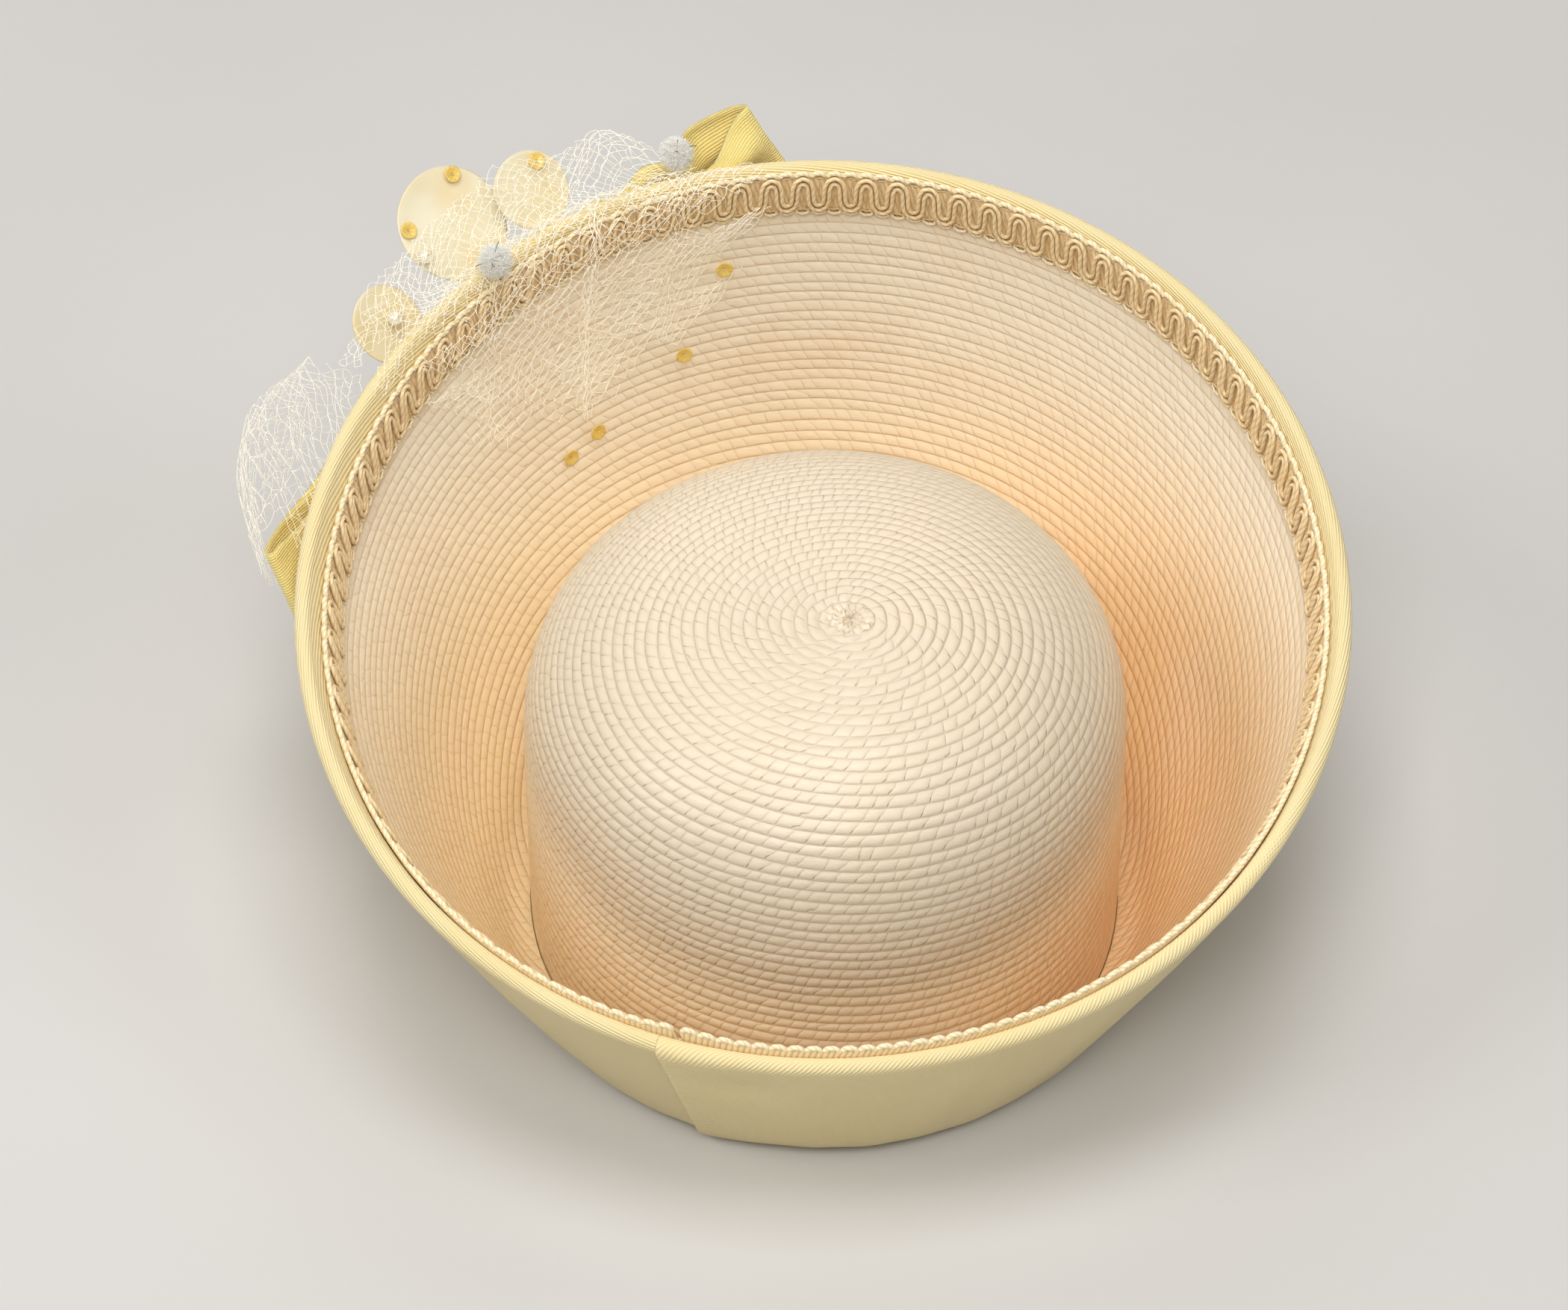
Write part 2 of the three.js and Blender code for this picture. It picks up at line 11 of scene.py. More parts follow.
import bpy
import numpy as np
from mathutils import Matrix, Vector


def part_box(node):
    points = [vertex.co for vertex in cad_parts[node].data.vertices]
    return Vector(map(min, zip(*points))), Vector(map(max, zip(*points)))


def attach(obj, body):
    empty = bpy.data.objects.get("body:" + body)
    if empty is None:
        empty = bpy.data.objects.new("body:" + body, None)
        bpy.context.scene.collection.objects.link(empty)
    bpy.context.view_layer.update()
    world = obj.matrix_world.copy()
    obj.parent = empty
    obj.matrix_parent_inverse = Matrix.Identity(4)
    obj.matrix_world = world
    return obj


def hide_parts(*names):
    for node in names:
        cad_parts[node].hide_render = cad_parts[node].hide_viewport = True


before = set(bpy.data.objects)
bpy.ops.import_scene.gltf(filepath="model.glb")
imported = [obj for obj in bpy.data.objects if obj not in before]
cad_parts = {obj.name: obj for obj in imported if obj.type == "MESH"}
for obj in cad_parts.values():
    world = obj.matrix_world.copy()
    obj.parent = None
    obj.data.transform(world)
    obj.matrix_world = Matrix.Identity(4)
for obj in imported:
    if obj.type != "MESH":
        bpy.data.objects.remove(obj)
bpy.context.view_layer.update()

# Sizes that the modelled hat was built from
GAP = 0.3
STRAW = 1.8
CLOTH = 1.2
RIBBON = 1.0
STATIONS = 48
CROWN = {"half_width": 83.6, "half_length": 93.8, "x": 0.6, "y": 3.8, "height": 122.5}
TIP = {"x": 7.0, "y": -17.0}
DOME = {
    "back": {"depth": 56.0, "power": 3.2},
    "side": {"depth": 60.0, "power": 2.7},
    "front": {"depth": 62.0, "power": 2.6},
}
RIM = {"radius": 143.6, "y": 21.0, "z": 97.6, "tilt": 18.8}
BOWL = {
    "back": {"fold": 6.0, "bowed": 0.1, "power": 2.0},
    "side": {"fold": 6.0, "bowed": 0.25, "power": 2.3},
    "front": {"fold": 6.0, "bowed": 0.8, "power": 5.0},
}
TURN_HEIGHT = 5.0
TURN_START = 5.0
STRAW_FACE = STRAW / 2
COVER_IN = STRAW_FACE + GAP
COVER_OUT = COVER_IN + CLOTH
FLOOR_Z = COVER_OUT
CROWN_FOOT_Z = FLOOR_Z - COVER_IN + GAP
ROLL_LIFT = 0.5
GIMP = {"width": 12.5, "thick": 2.0, "repeats": 95, "top_off": COVER_OUT + 0.5, "foot_off": 1.3}
GIMP_INSET = {"front": 0.8, "left": 7.0, "back": 0.6, "right": 4.0}
GIMP_OVERLAP = 2.0
RUN_OUTSIDE = 4.0

MM = 0.001
TAU = 2 * math.pi
# The run along the rim from one station to the next, taken a little outside the straw
RUN_PER_STATION = TAU * (RIM["radius"] + RUN_OUTSIDE) / STATIONS
# Where the hat's own frame lies in the shared one, found again from the crown
crown_low, crown_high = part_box("crown")
ORIGIN = np.array(
    [
        (crown_low.x + crown_high.x) / 2 / MM - CROWN["x"],
        (crown_low.y + crown_high.y) / 2 / MM - CROWN["y"],
        crown_low.z / MM - CROWN_FOOT_Z,
    ]
)


def in_frame(points):
    """Points in millimetres of the hat's own frame, as metres of the shared frame."""
    return (np.asarray(points, float) + ORIGIN) * MM


def smooth(x, low, high):
    """0 below low, 1 above high, with a smooth rise between them."""
    t = np.clip((np.asarray(x, float) - low) / (high - low), 0, 1)
    return t * t * (3 - 2 * t)


def unit(v):
    return v / np.maximum(np.linalg.norm(v, axis=-1, keepdims=True), 1e-12)


def run_along(lines):
    """How far each point lies along its own line, for (m, n, 3) points."""
    run = np.zeros(lines.shape[:2])
    run[:, 1:] = np.cumsum(np.linalg.norm(np.diff(lines, axis=1), axis=2), axis=1)
    return run


def angle_of(station):
    return np.asarray(station, float) / STATIONS * TAU


def around(table, column, angle):
    """A value that runs smoothly from the back row of a table, over its side row, to its front."""
    s = (1 + np.sin(angle)) / 2
    at_back = table["back"][column] * (1 - s) * (1 - 2 * s)
    at_side = table["side"][column] * 4 * s * (1 - s)
    return at_back + at_side + table["front"][column] * s * (2 * s - 1)


def crown_outline(angle, inset=0.0):
    x = CROWN["x"] + (CROWN["half_width"] - inset) * np.cos(angle)
    y = CROWN["y"] + (CROWN["half_length"] - inset) * np.sin(angle)
    return np.stack([x, y], axis=-1)


def rim_point(angle):
    tilt = math.radians(RIM["tilt"])
    forward = RIM["radius"] * np.sin(angle)
    x = RIM["radius"] * np.cos(angle)
    y = RIM["y"] + forward * math.cos(tilt)
    return np.stack([x, y, RIM["z"] + forward * math.sin(tilt)], axis=-1)


def brim_middle(angle, stage):
    """The middle of the straw brim. Stage 0 to 1 is the flat fold, 1 to 2 the turn, 2 to 3 the wall."""
    angle, stage = np.broadcast_arrays(np.asarray(angle, float), np.asarray(stage, float))
    foot = crown_outline(angle)
    rim = rim_point(angle)
    away = rim[..., :2] - foot
    reach = np.linalg.norm(away, axis=-1)
    away = away / reach[..., None]
    height = rim[..., 2] - FLOOR_Z
    fold = around(BOWL, "fold", angle)
    bowed = around(BOWL, "bowed", angle)
    power = around(BOWL, "power", angle)
    spread = reach - fold

    def share(v):
        return bowed * (1 - (1 - v) ** power) + (1 - bowed) * v

    start = TURN_HEIGHT / height
    steepness = bowed * power * (1 - start) ** (power - 1) + (1 - bowed)
    turn_end = fold + spread * share(start)
    corner = turn_end - TURN_HEIGHT * spread * steepness / height
    turn_start = corner - TURN_START
    flat = GAP + (turn_start - GAP) * np.clip(stage, 0, 1)
    t = np.clip(stage - 1, 0, 1)
    turning = (1 - t) ** 2 * turn_start + 2 * t * (1 - t) * corner + t * t * turn_end
    v = start + (1 - start) * np.clip(stage - 2, 0, 1)
    rising = fold + spread * share(v)
    out = np.where(stage <= 1, flat, np.where(stage <= 2, turning, rising))
    up = np.where(stage <= 1, 0, np.where(stage <= 2, t * t * TURN_HEIGHT, v * height))
    plan = foot + away * out[..., None]
    return np.concatenate([plan, (FLOOR_Z + up)[..., None]], axis=-1)


# Charts of the hat's two walls
class Chart:
    """Lines that run down a surface, one for each of many angles round the hat.

    A place is told by its station, how far down the line it is, and how far out it is raised.
    """

    chunk = 12000

    def __init__(self, middle, pointed):
        self.middle = middle
        self.pointed = pointed
        down = np.gradient(middle, axis=1)
        turned = np.roll(middle, -1, axis=0) - np.roll(middle, 1, axis=0)
        self.normal = unit(np.cross(down, turned))
        if pointed:
            self.normal[:, 0] = (0, 0, 1)

    def lines(self, station, off):
        """The line at each station, raised by off, and the run along it."""
        columns = len(self.middle)
        column = (station % STATIONS) / STATIONS * columns
        whole = np.floor(column).astype(int)
        part = (column - whole)[:, None, None]
        left, right = whole % columns, (whole + 1) % columns
        middle = self.middle[left] * (1 - part) + self.middle[right] * part
        normal = unit(self.normal[left] * (1 - part) + self.normal[right] * part)
        lines = middle + normal * off[:, None, None]
        return lines, run_along(lines)

    def point(self, station, down, off):
        """Points at those places, in millimetres. Above the top the line goes straight on."""
        station, down, off = np.broadcast_arrays(
            np.asarray(station, float), np.asarray(down, float), np.asarray(off, float)
        )
        shape = station.shape
        station, down, off = station.ravel(), down.ravel(), off.ravel()
        found = np.empty((len(station), 3))
        for first in range(0, len(station), self.chunk):
            part = slice(first, first + self.chunk)
            lines, run = self.lines(station[part], off[part])
            each = np.arange(len(lines))
            low = np.clip((run < down[part, None]).sum(axis=1) - 1, 0, run.shape[1] - 2)
            before, after = run[each, low], run[each, low + 1]
            t = np.minimum((down[part] - before) / (after - before), 1)[:, None]
            found[part] = lines[each, low] * (1 - t) + lines[each, low + 1] * t
        return found.reshape(shape + (3,))

    def length(self, station, off):
        """How long the line is at each station."""
        station = np.asarray(station, float)
        run = self.lines(station.ravel(), np.full(station.size, float(off)))[1]
        return run[:, -1].reshape(station.shape)


CHART_COLUMNS = 480
DOME_STEPS = 60
SIDE_STEPS = 12
chart_angles = np.arange(CHART_COLUMNS) / CHART_COLUMNS * TAU
# The brim's wall, then its turn, then its flat fold
brim_stages = np.concatenate([np.linspace(3, 2, 36)[:-1], np.linspace(2, 1, 8)[:-1], [1, 0.5, 0]])
brim_lines = brim_middle(*np.meshgrid(chart_angles, brim_stages, indexing="ij"))
brim_chart = Chart(brim_lines, pointed=False)
wall = brim_chart.point


def crown_lines():
    """The crown's outer face, from the tip where the braid starts down to the foot."""
    angle = chart_angles[:, None]
    turn = np.linspace(0, math.pi / 2, DOME_STEPS)
    power = around(DOME, "power", angle)
    out = np.sin(turn) ** (2 / power)
    rise = np.clip(np.cos(turn), 0, 1) ** (2 / power)
    foot = crown_outline(chart_angles)
    x = TIP["x"] + (foot[:, :1] - TIP["x"]) * out
    y = TIP["y"] + (foot[:, 1:] - TIP["y"]) * out
    z = CROWN["height"] - around(DOME, "depth", angle) * (1 - rise)
    shoulder = z[:, -1:]
    foot_z = np.full_like(shoulder, CROWN_FOOT_Z)
    below = np.linspace(shoulder, foot_z, SIDE_STEPS, axis=1)[:, 1:, 0]
    more = ((0, 0), (0, below.shape[1]))
    x, y = (np.pad(part, more, mode="edge") for part in (x, y))
    return np.stack([x, y, np.concatenate([z, below], axis=1)], axis=-1)


crown_chart = Chart(crown_lines(), pointed=True)


# Meshes
def pairs(along, across):
    """A chart of two values, spread over one grid."""
    return np.stack(np.broadcast_arrays(along, across), axis=-1)


def closed_round(grid):
    """A grid whose first column comes again after its last."""
    return np.concatenate([grid, grid[:, :1]], axis=1)


def add_object(name, data):
    made = bpy.data.objects.new(name, data)
    bpy.context.scene.collection.objects.link(made)
    return made
class Skin:
    """Collects points and faces for one mesh, with a chart position for each face corner."""

    def __init__(self):
        self.points = []
        self.count = 0
        self.quads = []
        self.quad_charts = []
        self.triangles = []
        self.triangle_charts = []

    def add_points(self, points):
        """Adds points of any leading shape, and returns their numbers in that shape."""
        points = np.asarray(points, float)
        numbers = self.count + np.arange(points[..., 0].size).reshape(points.shape[:-1])
        self.points.append(points.reshape(-1, 3))
        self.count += numbers.size
        return numbers

    def add_quads(self, corners, charts):
        """Adds quads, (n, 4) point numbers and (n, 4, 2) charts. Repeated corners are dropped."""
        corners, charts = corners.reshape(-1, 4), charts.reshape(-1, 4, 2)
        same = corners == np.roll(corners, -1, axis=1)
        whole = ~same.any(axis=1)
        self.quads.append(corners[whole])
        self.quad_charts.append(charts[whole])
        for quad, chart, repeat in zip(corners[~whole], charts[~whole], same[~whole]):
            if repeat.sum() == 1 and len(set(quad)) == 3:
                self.triangles.append(quad[~repeat])
                self.triangle_charts.append(chart[~repeat])

    def add_triangle(self, corners):
        self.triangles.append(np.array(corners))
        self.triangle_charts.append(np.zeros((3, 2)))

    def add_grid(self, numbers, chart, chart_after=None, flip=False):
        """Adds the quads of a grid. chart_after holds the far corners' charts where they differ."""
        near = chart if chart_after is not None else chart[:-1]
        far = chart_after if chart_after is not None else chart[1:]
        corners = np.stack(
            [numbers[:-1, :-1], numbers[1:, :-1], numbers[1:, 1:], numbers[:-1, 1:]], axis=-1
        )
        charts = np.stack([near[:, :-1], far[:, :-1], far[:, 1:], near[:, 1:]], axis=-2)
        if flip:
            corners, charts = corners[..., ::-1], charts[..., ::-1, :]
        self.add_quads(corners, charts)

    def build(self, name, material):
        """Makes the object, which rides on the hat's one body."""
        points = in_frame(np.concatenate(self.points))
        quads = np.concatenate(self.quads)
        triangles = np.array(self.triangles, int).reshape(-1, 3)
        corners = np.concatenate([quads.ravel(), triangles.ravel()])
        charts = [c.reshape(-1, 2) for c in self.quad_charts]
        charts.append(np.array(self.triangle_charts, float).reshape(-1, 2))
        starts = np.concatenate(
            [np.arange(len(quads)) * 4, len(quads) * 4 + np.arange(len(triangles)) * 3]
        )
        mesh = bpy.data.meshes.new(name)
        mesh.vertices.add(len(points))
        mesh.vertices.foreach_set("co", points.ravel())
        mesh.loops.add(len(corners))
        mesh.loops.foreach_set("vertex_index", corners.astype(np.int32))
        mesh.polygons.add(len(starts))
        mesh.polygons.foreach_set("loop_start", starts.astype(np.int32))
        layer = mesh.uv_layers.new(name="chart")
        mesh.update(calc_edges=True)
        layer.data.foreach_set("uv", np.concatenate(charts).ravel())
        mesh.validate()
        mesh.shade_smooth()
        mesh.materials.append(material)
        piece = add_object(name, mesh)
        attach(piece, "root")
        return piece


def tubes(skin, paths, normals, radius, sides):
    """Adds a batch of tubes, (m, n, 3) centre lines with a direction square to each point."""
    along = unit(np.gradient(paths, axis=1))
    across = unit(np.cross(along, normals))
    upright = np.cross(across, along)
    radius = np.broadcast_to(np.asarray(radius, float), paths.shape[:2])[..., None, None]
    turn = (np.arange(sides) / sides * TAU)[:, None]
    ring = across[:, :, None] * np.cos(turn) + upright[:, :, None] * np.sin(turn)
    numbers = skin.add_points(paths[:, :, None] + ring * radius)
    share = np.arange(sides + 1) / sides
    for each, line in zip(numbers, run_along(paths)):
        skin.add_grid(closed_round(each), pairs(line[:, None], share))
        for k in range(1, sides - 1):
            skin.add_triangle([each[0, 0], each[0, k], each[0, k + 1]])
            skin.add_triangle([each[-1, 0], each[-1, k + 1], each[-1, k]])


# Materials
class Value:
    """A number or colour inside a material. Arithmetic on a number makes Math nodes."""

    def __init__(self, shader, socket):
        self.shader = shader
        self.socket = socket

    def math(self, operation, *others):
        return self.shader.math(operation, self, *others)

    __add__ = partialmethod(math, "ADD")
    __sub__ = partialmethod(math, "SUBTRACT")
    __mul__ = partialmethod(math, "MULTIPLY")
    __truediv__ = partialmethod(math, "DIVIDE")
    __pow__ = partialmethod(math, "POWER")
    __gt__ = partialmethod(math, "GREATER_THAN")
    __abs__ = partialmethod(math, "ABSOLUTE")
    floor = partialmethod(math, "FLOOR")
    fract = partialmethod(math, "FRACT")
    sine = partialmethod(math, "SINE")

    def __rsub__(self, other):
        return self.shader.math("SUBTRACT", other, self)

    def wave(self, length):
        """Swings between 0 and 1 once in each such length."""
        return (self * (TAU / length)).sine() * 0.5 + 0.5

    def rise(self, low, high, to_low=0.0, to_high=1.0):
        """Goes smoothly from to_low to to_high as the number goes from low to high."""
        inputs = {0: self, 1: low, 2: high, 3: to_low, 4: to_high}
        return self.shader.value("MapRange", 0, inputs, interpolation_type="SMOOTHSTEP")


class Shader:
    """A material with one Principled shader, built from short calls."""

    def __init__(self, name, **settings):
        self.material = bpy.data.materials.new(name)
        self.material.use_nodes = True
        self.tree = self.material.node_tree
        self.surface = self.tree.nodes["Principled BSDF"]
        for key, value in settings.items():
            self.surface.inputs[key.replace("_", " ")].default_value = value

    def node(self, kind, inputs=(), **settings):
        made = self.tree.nodes.new("ShaderNode" + kind)
        for key, value in settings.items():
            setattr(made, key, value)
        for key, value in dict(inputs).items():
            if isinstance(value, Value):
                self.tree.links.new(value.socket, made.inputs[key])
            else:
                made.inputs[key].default_value = value
        return made

    def value(self, kind, output=0, inputs=(), **settings):
        """Makes a node, and gives one of its outputs."""
        return Value(self, self.node(kind, inputs, **settings).outputs[output])

    def math(self, operation, *values):
        return self.value("Math", 0, dict(enumerate(values)), operation=operation)

    def paint(self, colour, *layers):
        """A colour with layers over it, each a (share, colour) pair."""
        for share, tone in layers:
            colour = self.value("Mix", 2, {0: share, 6: colour, 7: tone}, data_type="RGBA")
        return colour

    def parts(self, vector):
        return [Value(self, part) for part in self.node("SeparateXYZ", {0: vector}).outputs]

    def chart(self):
        """The along and across values of the mesh's chart."""
        return self.parts(self.value("UVMap", uv_map="chart"))[:2]

    def place(self):
        """The place in the shared frame, in metres."""
        return self.value("TexCoord", "Object")

    def vector(self, *values):
        return self.value("CombineXYZ", 0, dict(enumerate(values)))

    def noise(self, where, scale, detail=2.0):
        return self.value("TexNoise", "Fac", {"Vector": where, "Scale": scale, "Detail": detail})

    def random(self, *where):
        """An even random value for each whole-numbered place."""
        return self.value("TexWhiteNoise", "Value", {"Vector": self.vector(*where)})

    def finish(self, colour, height, relief, roughness=None):
        """Joins colour, height (1 is relief metres high) and roughness to the shader."""
        bump = {"Height": height, "Distance": relief, "Strength": 1.0}
        joined = {"Base Color": colour, "Normal": self.value("Bump", 0, bump)}
        if roughness is not None:
            joined["Roughness"] = roughness
        for key, value in joined.items():
            self.tree.links.new(value.socket, self.surface.inputs[key])
        return self.material


def linear(red, green, blue):
    """A display colour, 0 to 255, as Blender's linear colour."""
    parts = np.array([red, green, blue]) / 255
    low = parts / 12.92
    high = ((parts + 0.055) / 1.055) ** 2.4
    return (*np.where(parts <= 0.04045, low, high).tolist(), 1.0)


def shaded(tone, *shares):
    """A colour with its red, green and blue each taken down to a share."""
    return (*(part * share for part, share in zip(tone, shares)), 1.0)


# Where painted warm shade goes on the straw, low down and more so to the right of the crown: height and
# distance to the right in metres
PAINTED_SHADE_HEIGHT = {"none": 0.1, "full": 0.015}
PAINTED_SHADE_RIGHT = {"none": 0.02, "full": 0.11}
# Tones laid over the straw's own colour. The right tone is painted shade beside the crown, and the edge
# tone is painted shade where each row tucks under. The tone for grain tops is a painted highlight.
# Patch, grain and stitch are the straw's own.
STRAW_MARKS_AND_PAINTED_LIGHT = {
    "right": linear(240, 184, 112),
    "patch": linear(244, 214, 178),
    "grain": linear(214, 190, 148),
    "painted_highlight": linear(252, 242, 220),
    "stitch": linear(160, 134, 100),
    "edge": linear(190, 158, 112),
}


def straw_material(name, light, painted_shade, stitches, mottle, edge):
    """Glossy plaited straw: slanting grains along each row and short stitches, with painted warm shade
    low down and right of the crown, painted shade at the tucked row edges and a painted highlight on
    each grain.
    """
    shader = Shader(name, Coat_Weight=0.45, Coat_Roughness=0.34)
    along, across = shader.chart()
    row, part = across.floor(), across.fract()
    waver = shader.noise(shader.vector(along, row, 0.0), 0.6)
    slanted = along + shader.random(row, 0.0, 0.0) * 7.0 + waver * 1.6 + part * 0.45
    inside = slanted.fract()
    grain = shader.random(slanted.floor(), row, 0.0)
    pillow = ((1.0 - inside) * inside * 4.0) ** 0.5
    body = ((1.0 - part) * part * 4.0) ** 0.6
    fibre = shader.noise(shader.vector(slanted, across * 8.0, 0.0), 2.5, 3.0)
    crease = abs(inside - 0.5).rise(0.42, 0.49)
    band = part.rise(0.6, 0.78) * part.rise(0.99, 0.93)
    stitch = crease * band * grain.rise(0.25, 0.9, 0.15, 1.0)
    height = pillow * body + fibre * 0.5 - stitch * stitches
    place = shader.place()
    x, _, z = shader.parts(place)
    # Painted shade: warmer and darker low down, round the crown's foot, and more so to the right of the
    # crown, where its shadow falls
    low = z.rise(PAINTED_SHADE_HEIGHT["none"], PAINTED_SHADE_HEIGHT["full"])
    right = x.rise(PAINTED_SHADE_RIGHT["none"], PAINTED_SHADE_RIGHT["full"])
    patch = shader.noise(place, 20.0, 3.0)
    colour = shader.paint(
        light,
        (low, painted_shade),
        (right * low * 0.8, STRAW_MARKS_AND_PAINTED_LIGHT["right"]),
        (patch.rise(0.45, 0.75, 0.0, 0.4), STRAW_MARKS_AND_PAINTED_LIGHT["patch"]),
        (grain * mottle, STRAW_MARKS_AND_PAINTED_LIGHT["grain"]),
        # Painted highlight on the domed top of each grain
        (pillow * (body * 0.25), STRAW_MARKS_AND_PAINTED_LIGHT["painted_highlight"]),
        (stitch * 0.26, STRAW_MARKS_AND_PAINTED_LIGHT["stitch"]),
        # Painted shade where each row's edge tucks under the row before
        (part.rise(0.09, 0.0, 0.0, edge), STRAW_MARKS_AND_PAINTED_LIGHT["edge"]),
    )
    return shader.finish(colour, height, 0.00028, grain.rise(0.0, 1.0, 0.3, 0.48))


# Millimetres: the painted shadow line before the seam, and how far past it the slanted ribs fade away
SEAM = {"line": 0.5, "slant_to": 150.0, "slant_gone": 230.0}
WEFT = 0.42


def twill_material(name, tone, rib, seam_mm=None, glow=0.0):
    """Twill with fine ribs along the cloth, with painted shade in the grooves between them and a
    painted shadow line before a seam. Right of a seam they rise at a slant instead.
    """
    shader = Shader(
        name,
        Sheen_Weight=0.2,
        Sheen_Roughness=0.5,
        Subsurface_Weight=glow,
        Subsurface_Radius=(1.0, 0.9, 0.8),
        Subsurface_Scale=0.0012,
    )
    along, across = shader.chart()
    place = shader.place()
    waver = shader.noise(place, 90.0) * (rib * 0.7)

    def ribs(along_share, across_share):
        return (across * across_share + (along * along_share + waver)).wave(rib)

    ridge = ribs(0.12, 1.0)
    if seam_mm:
        beyond = along > seam_mm
        near = along.rise(seam_mm + SEAM["slant_gone"], seam_mm + SEAM["slant_to"])
        weight = beyond * near
        ridge = ridge * (1.0 - weight) + ribs(0.6, -0.6) * weight
    height = (along * (TAU / WEFT)).sine() * 0.1 + ridge
    cloudy = shader.noise(place, 30.0, 3.0)
    # Painted shade tone, for the grooves between ribs and the line before the seam
    dark = shaded(tone, 0.76, 0.7, 0.58)
    layers = [
        (cloudy.rise(0.35, 0.75, 0.0, 0.5), shaded(tone, 0.97, 0.92, 0.82)),
        # Painted shade in the grooves between the ribs
        (ridge.rise(0.6, 0.0, 0.0, 0.45), dark),
    ]
    if seam_mm:
        # Painted shadow in a thin line just before the seam, where the folded edge lies over
        edge = (along > seam_mm - SEAM["line"]) - beyond
        layers.append((edge * 0.6, dark))
    colour = shader.paint(tone, *layers)
    return shader.finish(colour, height, 0.0002, ridge.rise(0.0, 1.0, 0.78, 0.58))


def cord_material(name, light, dark, pitch, relief, roughness):
    """Twisted cord: plies that wind round it, with painted shade in the grooves between them."""
    shader = Shader(name, Sheen_Weight=0.2, Sheen_Roughness=0.4)
    along, across = shader.chart()
    place = shader.place()
    ply = (along / pitch + across * 2.0).wave(1.0)
    fuzz = shader.noise(place, 900.0)
    patch = shader.noise(place, 60.0)
    # Painted shade in the grooves between the plies. The patches are the cord's own tone.
    colour = shader.paint(
        light,
        (ply.rise(0.55, 0.0), dark),
        (patch.rise(0.4, 0.8, 0.0, 0.45), shaded(light, 0.92, 0.84, 0.66)),
    )
    rough = fuzz.rise(0.0, 1.0, roughness, roughness + 0.15)
    return shader.finish(colour, fuzz * 0.5 + ply, relief, rough)


def patchy_material(shader, light, dark, scale, detail, patch_from, patch_to, relief, gloss=None):
    """Soft patches of a darker tone, which are also the relief, and the roughness if gloss is given."""
    patch = shader.noise(shader.place(), scale, detail)
    colour = shader.paint(light, (patch.rise(patch_from, patch_to), dark))
    rough = patch.rise(0.2, 0.8, *gloss) if gloss else None
    return shader.finish(colour, patch, relief, rough)


def thread_material(shader, light, dark, scale, patch_to, pitch, relief):
    """Thread in two tones, with a twist that repeats at the pitch."""
    along, _ = shader.chart()
    patch = shader.noise(shader.place(), scale)
    colour = shader.paint(light, (patch.rise(0.3, patch_to), dark))
    return shader.finish(colour, (along * (TAU / pitch)).sine(), relief)


# Straw braid, sewn in a spiral so that each row lies over the edge of the next
PITCH = 3.37
GRAIN = 4.3
# Each row's section: its share of the row's width, and its height off the straw's middle height
ROW = [(0.0, -0.4), (0.13, -0.26), (0.36, 0.02), (0.64, 0.16), (0.87, 0.16), (0.97, -0.04)]
ROW_END = 0.999
# How many grains the chart has round a straw wall's plain side
PLAIN_GRAINS = 120


def row_waver(angle, row):
    """How far the sewn rows stray from an even spiral, in rows."""
    return (
        0.045 * np.sin(5 * angle + 1.7 * row)
        + 0.035 * np.sin(9 * angle - 0.8 * row + 2)
        + 0.02 * np.sin(17 * angle + 3.1 * row)
    )


def add_rows(skin, chart, columns, off, side, bold, rough=0.0):
    """Adds spiral rows down a chart's whole face. side is 1 where the face looks out, else -1.

    bold scales the rows' relief, and rough is the height of the lumps where the braid starts.
    """
    angle = np.arange(columns) / columns * TAU
    station = angle / TAU * STATIONS
    length = chart.length(station, off)
    last = int(math.ceil(length.max() / PITCH)) + 2
    numbered = np.arange(-1, last + 1)
    whole = np.repeat(numbered, len(ROW))
    part, relief = np.tile(ROW, (len(numbered), 1)).T
    row = (whole + part)[:, None] + angle / TAU
    down = (row + row_waver(angle, row) * smooth(row, 0, 3)) * PITCH
    above, below = down <= 0, down >= length
    down = np.clip(down, 0, length)
    lift = bold * relief[:, None] * (1 + 0.3 * np.sin(7 * angle + 2.3 * row + 1))
    if rough:
        lumps = np.sin(9 * angle + 4 * row) * np.sin(5 * angle - 7 * row) * np.sin(3 * row)
        lift = lift * smooth(row, 0.6, 2.4) + rough * lumps * smooth(row, 3.2, 0.8)
    lift = lift * smooth(length - down, 0, 4)
    numbers = skin.add_points(chart.point(station, down, off + side * lift))
    top = skin.add_points(chart.point(station, 0, off))
    if chart.pointed:
        top[:] = top[0]
    foot = skin.add_points(chart.point(station, length, off))
    numbers = np.where(above, top, numbers)
    numbers = np.where(below, foot, numbers)
    step = len(ROW)
    closed = np.concatenate([numbers[:-step], numbers[step:, :1]], axis=1)
    middle = chart.point(station, np.clip((whole[:, None] + 0.5) * PITCH, 0, length), off)
    girth = np.linalg.norm(middle - np.roll(middle, 1, axis=1), axis=2).sum(axis=1)
    grains = np.maximum(5, np.round(girth / GRAIN))[: len(closed)]
    along = grains[:, None] * np.linspace(0, 1, columns + 1)
    ends = [share for share, _ in ROW[1:]] + [ROW_END]
    near, far = (whole + share for share in (part, np.tile(ends, len(numbered))))
    charts = (pairs(along, rows[: len(closed), None])[:-1] for rows in (near, far))
    skin.add_grid(closed, *charts, flip=side < 0)
    return top, foot


